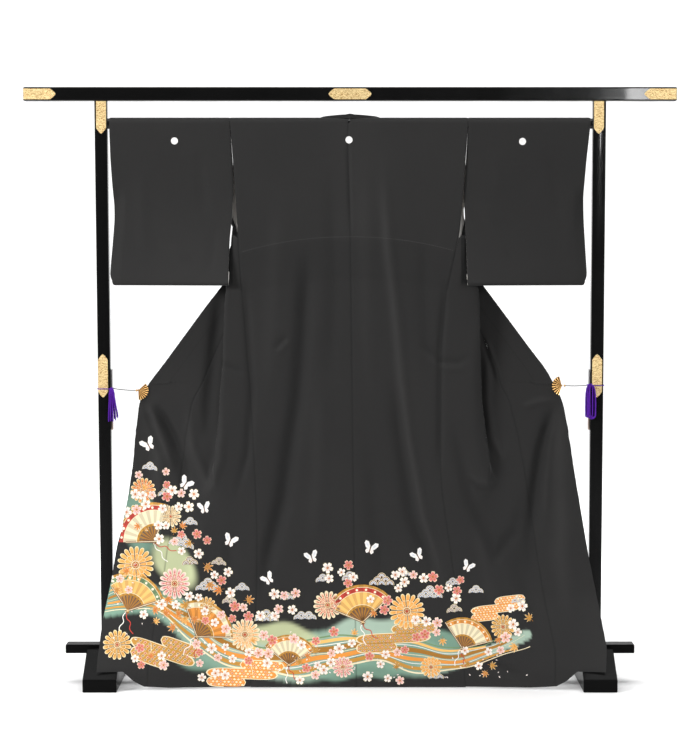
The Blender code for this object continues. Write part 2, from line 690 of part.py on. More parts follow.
def build_stand():
    beam_z = BEAM_TOP - BEAM_HEIGHT / 2
    build_box("top_beam", (0, 0, beam_z), (BEAM_LENGTH, BEAM_DEPTH, BEAM_HEIGHT), LACQUER, 0.004)
    plank_z = PLANK_TOP - PLANK_HEIGHT / 2
    build_box("lower_plank", (0, 0, plank_z), (PLANK_LENGTH, PLANK_DEPTH, PLANK_HEIGHT), LACQUER, 0.003)
    low = PLANK_TOP + GAP
    high = BEAM_TOP - BEAM_HEIGHT - GAP
    notch = PLANK_DEPTH / 2 + GAP
    floor_of_notch = PLANK_TOP - PLANK_HEIGHT - GAP
    half = [(FOOT_HALF_LENGTH, 0), (FOOT_HALF_LENGTH, FOOT_TOE_HEIGHT), (FOOT_FLAT_HALF, FOOT_TOP_HEIGHT),
            (notch, FOOT_TOP_HEIGHT), (notch, floor_of_notch)]
    outline = half + [(-y, z) for y, z in reversed(half)]
    for side, name in ((-1, "left"), (1, "right")):
        centre = (side * UPRIGHT_X, 0, (low + high) / 2)
        build_box("upright_" + name, centre, (UPRIGHT_WIDTH, UPRIGHT_DEPTH, high - low), LACQUER, 0.002)
        edges = sorted((side * (UPRIGHT_X - FOOT_WIDTH / 2), side * (UPRIGHT_X + FOOT_WIDTH / 2)))
        bevelled(build_slab("foot_" + name, outline, edges[0], edges[1], "x", LACQUER), 0.0025)
        strip_x = side * (UPRIGHT_X - UPRIGHT_WIDTH / 2 - GAP - STRIP_SIZE[0] / 2)
        build_box("joint_strip_" + name, (strip_x, 0, STRIP_Z), STRIP_SIZE, STEEL)

    shape = bmesh.new()
    length = 2 * (UPRIGHT_X - UPRIGHT_WIDTH / 2 - GAP)
    place = Matrix.Translation((0, 0, BAR_Z)) @ Matrix.Rotation(math.pi / 2, 4, "Y")
    bmesh.ops.create_cone(shape, cap_ends=True, segments=32, radius1=BAR_RADIUS, radius2=BAR_RADIUS,
                          depth=length, matrix=place)
    mesh = bpy.data.meshes.new("hanging_bar")
    shape.to_mesh(mesh)
    shape.free()
    mesh.shade_smooth()
    mesh.set_sharp_from_angle(angle=math.radians(50))
    link("hanging_bar", mesh, LACQUER)


# Half of a pointed end in steps: share of the tip's length, share of the half width.
TIP_STEPS = ((0.0, 1.0), (0.14, 0.93), (0.44, 0.70), (0.52, 0.56), (0.68, 0.48), (0.88, 0.22), (1.0, 0.0))
PLATE_TIP = 0.0165


def plate_outline(length, width, pointed_low, pointed_high):
    half = length / 2
    end = [(half - PLATE_TIP * (1 - along), width / 2 * across) for along, across in TIP_STEPS]
    square = [(half, width / 2)]
    high = end if pointed_high else square
    low = end if pointed_low else square
    right = high + [(a, -b) for a, b in reversed(high) if b > 0]
    left = [(-a, -b) for a, b in low] + [(-a, b) for a, b in reversed(low) if b > 0]
    return right + left


def build_plates():
    beam_z = BEAM_TOP - BEAM_HEIGHT / 2
    beam_face = -BEAM_DEPTH / 2 - GAP
    post_face = -UPRIGHT_DEPTH / 2 - GAP
    end_x = BEAM_LENGTH / 2 - 0.0465
    # name, middle x, middle z, length, width, point at low end, point at high end, upright
    plates = (
        ("plate_beam_left", -end_x, beam_z, 0.089, 0.0296, False, True, False),
        ("plate_beam_centre", 0.0, beam_z, 0.119, 0.0296, True, True, False),
        ("plate_beam_right", end_x, beam_z, 0.089, 0.0296, True, False, False),
        ("plate_top_left", -UPRIGHT_X, 1.5832, 0.090, 0.0275, True, False, True),
        ("plate_top_right", UPRIGHT_X, 1.5832, 0.090, 0.0275, True, False, True),
        ("plate_middle_left", -UPRIGHT_X, 0.8655, 0.121, 0.0275, True, True, True),
        ("plate_middle_right", UPRIGHT_X, 0.8655, 0.121, 0.0275, True, True, True),
    )
    for name, x, z, length, width, low, high, upright in plates:
        outline = plate_outline(length, width, low, high)
        face = post_face if upright else beam_face
        if upright:
            outline = [(b, a) for a, b in outline]
        placed = [(a + x, b + z) for a, b in outline]
        build_slab(name, placed, face - PLATE_THICKNESS, face, "y", GILT)


# Clips: the pivot's place, how far the fan points below level, and the cloth's depth there.
CLIP_PIVOTS = {-1: (-0.5997, 0.8236), 1: (0.6016, 0.8371)}
CLIP_DROOP = {-1: math.radians(21), 1: math.radians(2)}
CLIP_TAIL = 0.0038
CLIP_Y = -0.001
FAN_RIBS = 9
CORD_RADIUS = 0.001
WRAP_CORD = 0.004
WRAP_TUCK = 0.0008
WRAP_Z = {-1: 0.8290, 1: 0.8385}
CORD_SAG = 0.0012
TASSEL_LENGTH = 0.095
TASSEL_PLACES = {-1: (-0.6581, -0.0060, 0.8360), 1: (0.6755, -0.0268, 0.8430)}
PIVOT_RADIUS = 0.0042
KNOT_HALF = 0.0062
KNOT_LENGTH = 0.022
KNOT_ROUNDING = 0.22
KNOT_SHARE_AT_CORD = 0.975
CORD_BELOW_TOP = 0.008
STRAND_HALF = 0.0012


def fan_outline(side):
    pivot_x, pivot_z = CLIP_PIVOTS[side]
    points = []
    steps = FAN_RIBS * 2
    for k in range(steps + 1):
        turn = CLIP_SPREAD * (k / steps - 0.5) - CLIP_DROOP[side]
        radius = CLIP_RADIUS * (1.0 if k % 2 else 0.955)
        points.append((pivot_x - side * radius * math.cos(turn), pivot_z + radius * math.sin(turn)))
    for k in range(5):
        turn = math.pi - CLIP_DROOP[side] - (0.5 - k / 4) * (math.pi * 2 - CLIP_SPREAD) * 0.62
        points.append((pivot_x - side * CLIP_TAIL * math.cos(turn), pivot_z + CLIP_TAIL * math.sin(turn)))
    return points


def build_clip(side):
    name = "fan_clip_left" if side < 0 else "fan_clip_right"
    outline = fan_outline(side)
    near = CLIP_Y - CLIP_HALF_GAP
    far = CLIP_Y + CLIP_HALF_GAP
    clip = build_slab(name, outline, near - CLIP_PLATE, near, "y", GILT)
    back = build_slab(name + "_back", outline, far, far + CLIP_PLATE, "y", GILT)
    pivot_x, pivot_z = CLIP_PIVOTS[side]
    shape = bmesh.new()
    depth = far - near + 3.2 * CLIP_PLATE
    place = Matrix.Translation((pivot_x, CLIP_Y, pivot_z)) @ Matrix.Rotation(math.pi / 2, 4, "X")
    bmesh.ops.create_cone(shape, cap_ends=True, segments=16, radius1=PIVOT_RADIUS, radius2=PIVOT_RADIUS,
                          depth=depth, matrix=place)
    mesh = bpy.data.meshes.new(name + "_pivot")
    shape.to_mesh(mesh)
    shape.free()
    face_out(mesh)
    pivot = link(name + "_pivot", mesh, GILT)
    for other in (back, pivot):
        other.hide_render = True
        other.display_type = "WIRE"
        join = clip.modifiers.new("join", "BOOLEAN")
        join.operation = "UNION"
        join.solver = "EXACT"
        join.object = other


def build_tube(name, start, end, radius, material):
    line = bpy.data.curves.new(name, "CURVE")
    line.dimensions = "3D"
    spline = line.splines.new("POLY")
    count = 10
    spline.points.add(count - 1)
    for k in range(count):
        share = k / (count - 1)
        point = start * (1 - share) + end * share
        point.z -= CORD_SAG * math.sin(math.pi * share)
        spline.points[k].co = (*point, 1)
    line.bevel_depth = radius
    line.bevel_resolution = 2
    line.use_fill_caps = True
    return link(name, line, material)


# A closed band of round cord about the upright, its strip and its plate.
def build_wrap(side):
    name = "cord_wrap_left" if side < 0 else "cord_wrap_right"
    inner = UPRIGHT_X - UPRIGHT_WIDTH / 2 - 2 * GAP - STRIP_SIZE[0]
    outer = UPRIGHT_X + UPRIGHT_WIDTH / 2 + GAP
    front = -UPRIGHT_DEPTH / 2 - 2 * GAP - PLATE_THICKNESS
    back = UPRIGHT_DEPTH / 2 + GAP
    radius = WRAP_CORD / 2
    tuck = WRAP_TUCK
    corners = ((outer - tuck, back - tuck), (inner + tuck, back - tuck),
               (inner + tuck, front + tuck), (outer - tuck, front + tuck))
    path = []
    for k, (x, y) in enumerate(corners):
        for step in range(4):
            angle = math.radians(90 * (k + step / 3))
            path.append((x + (radius + tuck) * math.cos(angle), y + (radius + tuck) * math.sin(angle)))
    z = WRAP_Z[side]
    sides = 8
    count = len(path)
    vertices = []
    for k, (x, y) in enumerate(path):
        ahead, behind = path[(k + 1) % count], path[k - 1]
        along = Vector((ahead[0] - behind[0], ahead[1] - behind[1], 0)).normalized()
        across = Vector((along.y, -along.x, 0))
        for s in range(sides):
            turn = 2 * math.pi * s / sides
            point = Vector((x, y, z)) + radius * (across * math.cos(turn) + Vector((0, 0, math.sin(turn))))
            vertices.append((side * point.x, point.y, point.z))
    faces = []
    for k in range(count):
        for s in range(sides):
            a, b = k * sides, ((k + 1) % count) * sides
            t = (s + 1) % sides
            faces.append([a + s, a + t, b + t, b + s])
    mesh = bpy.data.meshes.new(name)
    mesh.from_pydata(vertices, [], faces)
    face_out(mesh)
    mesh.shade_smooth()
    return link(name, mesh, PURPLE)


# A knot with strands growing from its underside: each strand is one face drawn out and splayed.
def build_tassel(side):
    name = "tassel_left" if side < 0 else "tassel_right"
    place = Vector(TASSEL_PLACES[side])
    grid = 4
    half = KNOT_HALF
    vertices, faces = [], []

    def add(point):
        vertices.append((point.x, point.y, point.z))
        return len(vertices) - 1

    levels = ((0.0, 0.55), (0.004, 0.95), (0.012, 1.0), (0.016, 0.80), (KNOT_LENGTH, 1.0))
    edge = [-1 + 2 * k / grid for k in range(grid)]
    rim = [(a, -1) for a in edge] + [(1, a) for a in edge]
    rim += [(-a, 1) for a in edge] + [(-1, -a) for a in edge]
    rings = []
    for drop, wide in levels:
        ring = []
        for a, b in rim:
            stretch = 1 if drop == KNOT_LENGTH else 1 - KNOT_ROUNDING * min(abs(a), abs(b))
            reach = half * wide * stretch
            ring.append(add(place + Vector((a * reach, b * reach, -drop))))
        rings.append(ring)
    faces.append(rings[0][::-1])
    count = len(rim)
    for upper, lower in zip(rings, rings[1:]):
        for k in range(count):
            faces.append([upper[k], upper[(k + 1) % count], lower[(k + 1) % count], lower[k]])

    lattice = {}
    for k, (a, b) in enumerate(rim):
        lattice[(round((a + 1) * grid / 2), round((b + 1) * grid / 2))] = rings[-1][k]
    for i in range(1, grid):
        for j in range(1, grid):
            a, b = -1 + 2 * i / grid, -1 + 2 * j / grid
            lattice[(i, j)] = add(place + Vector((a * half, b * half, -KNOT_LENGTH)))

    strand_levels = ((0.003, 1.02), (0.020, 1.10), (0.045, 1.45), (TASSEL_LENGTH - KNOT_LENGTH, 1.85))
    for i in range(grid):
        for j in range(grid):
            base = [lattice[(i, j)], lattice[(i + 1, j)], lattice[(i + 1, j + 1)], lattice[(i, j + 1)]]
            a, b = -1 + 2 * (i + 0.5) / grid, -1 + 2 * (j + 0.5) / grid
            previous = []
            for da, db in ((-1, -1), (1, -1), (1, 1), (-1, 1)):
                x, y = a * half + da * STRAND_HALF, b * half + db * STRAND_HALF
                previous.append(add(place + Vector((x, y, -KNOT_LENGTH))))
            for k in range(4):
                faces.append([base[k], base[(k + 1) % 4], previous[(k + 1) % 4], previous[k]])
            length_share = 0.90 + 0.10 * ((i * 3 + j * 5) % 4) / 3
            for drop, splay in strand_levels:
                ring = []
                for da, db in ((-1, -1), (1, -1), (1, 1), (-1, 1)):
                    x = a * half * splay + da * STRAND_HALF
                    y = b * half * (1 + (splay - 1) * 0.6) + db * STRAND_HALF
                    ring.append(add(place + Vector((x, y, -KNOT_LENGTH - drop * length_share))))
                for k in range(4):
                    faces.append([previous[k], previous[(k + 1) % 4], ring[(k + 1) % 4], ring[k]])
                previous = ring
            faces.append(previous)
    mesh = bpy.data.meshes.new(name)
    mesh.from_pydata(vertices, [], faces)
    face_out(mesh)
    return link(name, mesh, PURPLE)


def build_fasteners():
    for side, name in ((-1, "left"), (1, "right")):
        build_clip(side)
        build_wrap(side)
        build_tassel(side)
        place = TASSEL_PLACES[side]
        pivot_x, pivot_z = CLIP_PIVOTS[side]
        # The cord runs aslant, so each end stops short by what the slant takes up.
        slant = CORD_RADIUS * abs(place[1] - CLIP_Y) / abs(place[0] - pivot_x)
        start = Vector((pivot_x + side * (PIVOT_RADIUS + GAP + slant), CLIP_Y, pivot_z))
        end_x = place[0] - side * (KNOT_SHARE_AT_CORD * KNOT_HALF + GAP + slant)
        end = Vector((end_x, place[1], place[2] - CORD_BELOW_TOP))
        build_tube("clip_cord_" + name, start, end, CORD_RADIUS, CORD_GREY)


def main():
    for old in list(bpy.data.objects):
        bpy.data.objects.remove(old, do_unlink=True)
    build_stand()
    build_plates()
    for side in (-1, 1):
        build_body(side)
        build_okumi(side)
        build_sleeve(side)
    build_collar()
    build_fasteners()


main()
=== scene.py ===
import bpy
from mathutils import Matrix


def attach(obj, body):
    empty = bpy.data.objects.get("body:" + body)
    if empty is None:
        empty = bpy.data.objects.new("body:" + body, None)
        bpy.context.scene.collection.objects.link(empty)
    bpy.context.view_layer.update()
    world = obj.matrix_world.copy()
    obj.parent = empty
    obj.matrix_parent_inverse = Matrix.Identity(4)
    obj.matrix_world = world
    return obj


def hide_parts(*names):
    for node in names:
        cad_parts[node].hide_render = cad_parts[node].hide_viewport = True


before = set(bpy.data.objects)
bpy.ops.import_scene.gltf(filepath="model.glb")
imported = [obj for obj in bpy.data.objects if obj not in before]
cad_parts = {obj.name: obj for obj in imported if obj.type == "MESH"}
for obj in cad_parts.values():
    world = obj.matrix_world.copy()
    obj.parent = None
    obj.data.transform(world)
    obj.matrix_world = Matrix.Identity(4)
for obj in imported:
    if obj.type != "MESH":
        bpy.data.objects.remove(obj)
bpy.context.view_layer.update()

import math
import random

import bmesh
import bpy
import numpy as np
from mathutils import Vector
from mathutils.bvhtree import BVHTree

# A black formal kimono on its lacquered stand, seen from the back. Metres, z up, the back faces -y.

scene = bpy.context.scene
scene.view_settings.view_transform = "Standard"

camera = {"place": (0.0, -5.99, 1.25), "tiltDown": 3.66, "lens": 102.9}


def makeCamera():
    data = bpy.data.cameras.new("camera")
    data.lens = camera["lens"]
    data.sensor_width = 36
    data.clip_end = 60
    eye = bpy.data.objects.new("camera", data)
    eye.location = camera["place"]
    eye.rotation_euler = (math.radians(90 - camera["tiltDown"]), 0, 0)
    scene.collection.objects.link(eye)
    scene.camera = eye


makeCamera()
print("camera done")


# Shader helpers

class Wire:
    def __init__(self, tree, socket=None):
        self.tree, self.socket = tree, socket

    def make(self, kind, settings=None, values=None, out=0):
        node = self.tree.nodes.new("ShaderNode" + kind)
        for name, value in (settings or {}).items():
            setattr(node, name, value)
        for name, value in (values or {}).items():
            if isinstance(value, Wire):
                self.tree.links.new(value.socket, node.inputs[name])
            else:
                node.inputs[name].default_value = value
        return Wire(self.tree, node.outputs[out])

    def maths(self, operation, *others):
        return self.make("Math", {"operation": operation}, dict(enumerate(others)))

    def __add__(self, other): return self.maths("ADD", self, other)
    def __radd__(self, other): return self.maths("ADD", other, self)
    def __sub__(self, other): return self.maths("SUBTRACT", self, other)
    def __rsub__(self, other): return self.maths("SUBTRACT", other, self)
    def __mul__(self, other): return self.maths("MULTIPLY", self, other)
    def __rmul__(self, other): return self.maths("MULTIPLY", other, self)

    def blend(self, first, second):  # this wire is the mask between two colours
        return self.make("Mix", {"data_type": "RGBA"}, {0: self, 6: first, 7: second}, out=2)

    def bump(self, distance, strength=1.0):
        return self.make("Bump", None, {"Height": self, "Distance": distance, "Strength": strength})


def newMaterial(name, **values):
    material = bpy.data.materials.new(name)
    material.use_nodes = True
    shader = material.node_tree.nodes["Principled BSDF"]
    for socket, value in values.items():
        shader.inputs[socket.replace("_", " ")].default_value = value
    return material, Wire(material.node_tree), shader


def join(material, shader, **links):
    for socket, wire in links.items():
        material.node_tree.links.new(wire.socket, shader.inputs[socket.replace("_", " ")])


def objectPlace(paint):
    return paint.make("TexCoord", out=3)


def noiseAt(paint, scale, detail=3.0, stretch=None):
    place = objectPlace(paint)
    if stretch:
        place = paint.make("Mapping", None, {"Vector": place, "Scale": stretch})
    return paint.make("TexNoise", None, {"Vector": place, "Scale": scale, "Detail": detail})


def limit(paint, value, low, high):
    return paint.make("MapRange", {"clamp": True}, {"Value": value, 1: low, 2: high})


silk = {"rough": 0.80, "sheen": 0.05, "grain": 0.00042}


def silkMaterial(name, rough, sheen, gold=False):
    material, paint, shader = newMaterial(name, Sheen_Weight=sheen, Sheen_Roughness=0.45, IOR=1.38)
    dyeAndShading = paint.make("Attribute", {"attribute_name": "dyeAndShading"})
    cloudy = limit(paint, noiseAt(paint, 5.0, 4.0), 0.3, 0.7)
    toned = cloudy.blend(dyeAndShading, paint.make("Mix", {"data_type": "RGBA", "blend_type": "MULTIPLY"},
                                         {0: 1.0, 6: dyeAndShading, 7: (0.84, 0.84, 0.85, 1)}, out=2))
    crepe = noiseAt(paint, 1150.0, 2.0, (1, 1, 0.55)) + 0.6 * noiseAt(paint, 620.0, 2.0, (1.6, 1, 0.3))
    rows = noiseAt(paint, 46.0, 3.0, (6, 6, 0.25))
    height = crepe * 0.5 + rows * 0.5
    bumped = height.bump(silk["grain"], 0.55)
    join(material, shader, Base_Color=toned, Normal=bumped)
    if gold:
        leaf = paint.make("Attribute", {"attribute_name": "leaf"}, out=2)
        join(material, shader, Metallic=leaf * 0.75, Roughness=rough - leaf * 0.26)
    else:
        join(material, shader, Roughness=rough + 0.10 * (noiseAt(paint, 210.0, 2.0) - 0.5))
    return material


blackSilk = silkMaterial("blackCrepe", silk["rough"], silk["sheen"])
paintedSilk = silkMaterial("paintedSilk", 0.62, 0.06, gold=True)
lining = silkMaterial("silkLining", 0.55, 0.12)


def lacquerMaterial(name, coat, gloss):
    material, paint, shader = newMaterial(name, Coat_Roughness=0.04, IOR=gloss, Specular_IOR_Level=0.5)
    dust = noiseAt(paint, 1400.0, 1.0)
    smear = noiseAt(paint, 9.0, 4.0, (1, 1, 0.4))
    speck = limit(paint, dust, 0.70, 0.80)
    colour = (speck * 0.55).blend((0.0042, 0.0042, 0.0042, 1), (0.035, 0.034, 0.032, 1))
    join(material, shader, Base_Color=colour, Roughness=0.13 + 0.16 * limit(paint, smear, 0.35, 0.8),
         Coat_Weight=coat - 0.3 * coat * limit(paint, smear, 0.4, 0.9),
         Normal=(noiseAt(paint, 22.0, 2.0) * 0.7 + dust * 0.3).bump(0.00025, 0.35))
    return material


gilt = {"bright": (1.0, 0.78, 0.40, 1), "low": (0.50, 0.25, 0.06, 1), "metal": 0.55, "rough": 0.36,
        "cut": 0.00045}


def giltMaterial():
    material, paint, shader = newMaterial("engravedGilt", Metallic=gilt["metal"])
    cells = paint.make("TexVoronoi", {"feature": "SMOOTH_F1"}, {"Vector": objectPlace(paint), "Scale": 210.0})
    curl = paint.make("TexWave", {"wave_type": "RINGS"}, {"Vector": objectPlace(paint), "Scale": 62.0,
                                                         "Distortion": 11.0, "Detail": 2.0, "Detail Scale": 2.4},
                      out=1)
    worn = limit(paint, noiseAt(paint, 70.0, 4.0), 0.35, 0.7)
    carved = curl * 0.6 + cells * 0.4
    low = limit(paint, carved, 0.12, 0.48)
    colour = low.blend(gilt["low"], gilt["bright"])
    join(material, shader, Base_Color=colour, Roughness=gilt["rough"] + 0.16 * worn,
         Normal=carved.bump(gilt["cut"], 0.8))
    return material


# The clips take their colour from each point: painted shade between the ribs.
def ribbedGiltMaterial():
    material, paint, shader = newMaterial("ribbedGilt", Metallic=0.7)
    tone = paint.make("Attribute", {"attribute_name": "dyeAndShading"})
    fine = noiseAt(paint, 700.0, 2.0)
    join(material, shader, Base_Color=tone, Roughness=0.28 + 0.2 * fine, Normal=fine.bump(0.0001, 0.4))
    return material


def steelMaterial():
    material, paint, shader = newMaterial("darkSteel", Metallic=1.0)
    height = paint.make("SeparateXYZ", None, {0: objectPlace(paint)}, out=2)
    lower = limit(paint, height, 0.79, 0.81)
    colour = lower.blend((0.40, 0.31, 0.26, 1), (0.46, 0.455, 0.45, 1))
    brushed = noiseAt(paint, 900.0, 2.0, (1, 1, 0.04))
    join(material, shader, Base_Color=colour, Roughness=0.30 + 0.18 * brushed, Normal=brushed.bump(0.0001, 0.4))
    return material


def yarnMaterial(name, colour, shade):
    material, paint, shader = newMaterial(name, Roughness=0.70, IOR=1.3)
    strands = noiseAt(paint, 1500.0, 2.0, (1, 1, 0.25))
    join(material, shader, Base_Color=limit(paint, strands, 0.3, 0.75).blend(shade, colour),
         Normal=strands.bump(0.0004, 0.6))
    return material


lacquer = lacquerMaterial("blackLacquer", 0.36, 1.27)
footLacquer = lacquerMaterial("footLacquer", 0.02, 1.06)
engravedGilt = giltMaterial()
ribbedGilt = ribbedGiltMaterial()
steel = steelMaterial()
purpleYarn = yarnMaterial("purpleYarn", (0.115, 0.012, 0.40, 1), (0.050, 0.004, 0.20, 1))
# A darker copy of the purple yarn: painted shade on the far strands and loops.
shadedPurple = yarnMaterial("shadedPurpleYarn", (0.040, 0.003, 0.18, 1), (0.012, 0.001, 0.060, 1))
greyCord = yarnMaterial("greyCord", (0.040, 0.040, 0.043, 1), (0.014, 0.014, 0.015, 1))
print("materials done")


# The cloth's own surfaces

cloth = {"gap": 0.0003, "seam": -0.00012, "thick": 0.0007, "barRadius": 0.015, "barZ": 1.567, "hemZ": 0.004,
         "lean": 0.0536, "collarWidth": 0.055, "secondTurn": 0.007, "firstLeg": 0.030, "middleLeg": 0.050,
         "swingLow": 1.365,
         "swingHigh": 1.505, "flapAtNeck": 0.058, "folded": 0.64, "spread": 0.42, "collarEnd": 0.8458,
         "okumiTop": 1.336, "neckHalf": 0.085, "openingEnd": 1.262}
wrapRadius = (cloth["barRadius"] + cloth["gap"]) / math.cos(math.pi / 16) + 0.00075


def chart(columns, *rows):
    rows = sorted(rows)
    return {name: np.array([row[k] for row in rows]) for k, name in enumerate(columns.split())}


def readChart(table, column, z):
    return sum(np.interp(np.add(z, d), table["z"], table[column]) for d in (-0.012, 0, 0.012)) / 3


def ease(low, high, value):
    t = np.clip((np.asarray(value, float) - low) / (high - low), 0.0, 1.0)
    return t * t * (3 - 2 * t)


leftSide = chart(
    "z seam turn edge",
    (1.583, 0.3345, 0.000, 0.030), (1.466, 0.3245, 0.000, 0.078), (1.391, 0.3205, 0.000, 0.145),
    (1.350, 0.3165, 0.000, 0.182), (1.261, 0.3115, 0.014, 0.249), (1.225, 0.3092, 0.0205, 0.2763),
    (1.180, 0.3062, 0.029, 0.3103), (1.119, 0.3020, 0.036, 0.3566), (1.056, 0.2955, 0.049, 0.4055),
    (0.900, 0.2830, 0.066, 0.5200), (0.842, 0.2770, 0.077, 0.5648), (0.797, 0.2750, 0.081, 0.5896),
    (0.755, 0.2720, 0.084, 0.5951),
    (0.698, 0.2690, 0.092, 0.6020), (0.630, 0.2650, 0.104, 0.6060), (0.526, 0.2600, 0.118, 0.6212),
    (0.435, 0.2580, 0.120, 0.6395), (0.391, 0.2580, 0.120, 0.6513), (0.295, 0.2590, 0.120, 0.6667),
    (0.187, 0.2620, 0.120, 0.6882), (0.074, 0.2700, 0.120, 0.6997), (0.000, 0.2770, 0.120, 0.7045))
rightSide = chart(
    "z seam turn edge",
    (1.583, 0.3290, 0.000, 0.030), (1.466, 0.3205, 0.000, 0.082), (1.372, 0.3142, 0.000, 0.176),
    (1.261, 0.3035, 0.018, 0.2645), (1.225, 0.2950, 0.024, 0.2916), (1.180, 0.2850, 0.036, 0.3255),
    (1.106, 0.2685, 0.085, 0.3815), (0.940, 0.2540, 0.104, 0.5050), (0.881, 0.2535, 0.106, 0.5504),
    (0.797, 0.2525, 0.108, 0.5952), (0.755, 0.2520, 0.112, 0.6036), (0.713, 0.2515, 0.118, 0.6118),
    (0.630, 0.2515, 0.128, 0.6228), (0.546, 0.2560, 0.134, 0.6366), (0.463, 0.2680, 0.130, 0.6502),
    (0.380, 0.2800, 0.125, 0.6635), (0.243, 0.2990, 0.120, 0.6900), (0.137, 0.3100, 0.120, 0.7087),
    (0.098, 0.3140, 0.120, 0.7140), (0.000, 0.3220, 0.120, 0.7100))
sides = {-1: leftSide, 1: rightSide}
names = {-1: "left", 1: "right"}

drape = chart(
    "z layer fold overlap edgeY",
    (1.567, wrapRadius, 0.0880, 0.0553, 0.0190), (1.450, 0.0140, 0.0920, 0.0553, 0.0180),
    (1.365, 0.0110, 0.0980, 0.0553, 0.0170), (1.340, 0.0100, 0.1000, 0.0562, 0.0165),
    (1.300, 0.0085, 0.1040, 0.0610, 0.0160), (1.200, 0.0055, 0.1160, 0.0720, 0.0145),
    (1.130, 0.0050, 0.1250, 0.0810, 0.0135), (1.020, 0.0050, 0.1650, 0.0950, 0.0100),
    (0.900, 0.0050, 0.2050, 0.1300, 0.0040), (0.840, 0.0060, 0.2350, 0.1520, 0.0000),
    (0.750, 0.0080, 0.3000, 0.1470, -0.0080), (0.690, 0.0090, 0.3550, 0.1430, -0.0132),
    (0.650, 0.0090, 0.3880, 0.1410, -0.0168), (0.600, 0.0090, 0.4000, 0.1390, -0.0212),
    (0.500, 0.0080, 0.4000, 0.1410, -0.0300), (0.250, 0.0080, 0.4000, 0.1480, -0.0650),
    (0.050, 0.0080, 0.4000, 0.1430, -0.1400), (0.000, 0.0080, 0.4000, 0.1430, -0.1420))

sleeves = {
    -1: chart("z inner outer", (1.600, 0.3362, 0.6690), (1.466, 0.3262, 0.6650), (1.391, 0.3225, 0.6600),
              (1.340, 0.3262, 0.6560), (1.300, 0.3280, 0.6555), (1.250, 0.3330, 0.6595), (1.170, 0.3360, 0.6665),
              (1.140, 0.3360, 0.6680), (1.118, 0.3360, 0.6600)),
    1: chart("z inner outer", (1.600, 0.3307, 0.6705), (1.466, 0.3222, 0.6565), (1.372, 0.3160, 0.6490),
             (1.300, 0.3190, 0.6505), (1.250, 0.3210, 0.6535), (1.170, 0.3240, 0.6585), (1.140, 0.3240, 0.6600),
             (1.118, 0.3250, 0.6520))}
# High, low and width: where the sleeve's far layer stands out past its near one, and where the
# backdrop shows between the sleeve and the front.
openEdges = {-1: ((1.160, 1.124, 0.0022),), 1: ((1.152, 1.131, 0.0022),)}
openGaps = {-1: ((1.289, 1.217, 0.0036),), 1: ((1.338, 1.296, 0.0026),)}
tuckedIn = 0.0008


def openedEdge(table, side, z):
    total = np.zeros(np.shape(z))
    for high, low, width in table[side]:
        total = total + width * ease(low, low + 0.010, z) * (1 - ease(high - 0.008, high, z))
    return total


centreLine = chart("z x", (1.583, -0.0050), (1.510, -0.0060), (1.261, 0.0014), (0.357, 0.0125), (0.0, 0.0180))
hemReach = (0.0, 0.500, 0.571, 0.600, 0.632, 0.720)
hemLifts = (0.0, 0.002, 0.007, 0.022, 0.0490, 0.0490)

# Long folds: height towards the viewer, width, where they have gone and are full, and their run.
longFolds = (
    (-0.0120, 0.022, 1.24, 1.05, 0.42, 0.22,
     chart("z x", (1.24, -0.1207), (1.10, -0.1263), (0.97, -0.1318), (0.80, -0.1458), (0.66, -0.1680),
           (0.52, -0.1875), (0.38, -0.2236), (0.27, -0.2459))),
    (-0.0026, 0.0065, 1.53, 1.46, 1.32, 1.26, chart("z x", (1.51, -0.0060), (1.26, 0.0014))),
    (0.0080, 0.014, 1.50, 1.20, 0.46, 0.20,
     chart("z x", (1.52, 0.0901), (1.35, 0.0985), (1.21, 0.1096), (1.02, 0.1318), (0.86, 0.1457),
           (0.69, 0.1652), (0.47, 0.2070), (0.30, 0.2626), (0.20, 0.3100))),
    (-0.0070, 0.020, 0.90, 0.70, 0.42, 0.28,
     chart("z x", (0.90, 0.1150), (0.71, 0.1360), (0.47, 0.1720), (0.35, 0.2210))),
    (-0.0050, 0.010, 1.16, 1.02, 0.70, 0.55, chart("z x", (1.11, 0.2640), (0.94, 0.2500), (0.58, 0.2480))),
    (-0.0050, 0.012, 1.16, 1.02, 0.66, 0.50,
     chart("z x", (1.10, -0.2900), (0.82, -0.2720), (0.65, -0.2850), (0.51, -0.3230))),
    (-0.0100, 0.024, 0.80, 0.70, 0.48, 0.25,
     chart("z x", (0.80, 0.5720), (0.57, 0.5250), (0.41, 0.5000), (0.25, 0.5100))),
    (0.0070, 0.022, 0.80, 0.70, 0.40, 0.20, chart("z x", (0.80, 0.5900), (0.36, 0.5980), (0.20, 0.6200))),
    (-0.0080, 0.018, 0.80, 0.72, 0.62, 0.45,
     chart("z x", (0.80, -0.5500), (0.69, -0.4930), (0.55, -0.4600))),
    (0.0060, 0.018, 0.80, 0.70, 0.55, 0.35,
     chart("z x", (0.80, -0.5700), (0.68, -0.5350), (0.40, -0.5300))),
)

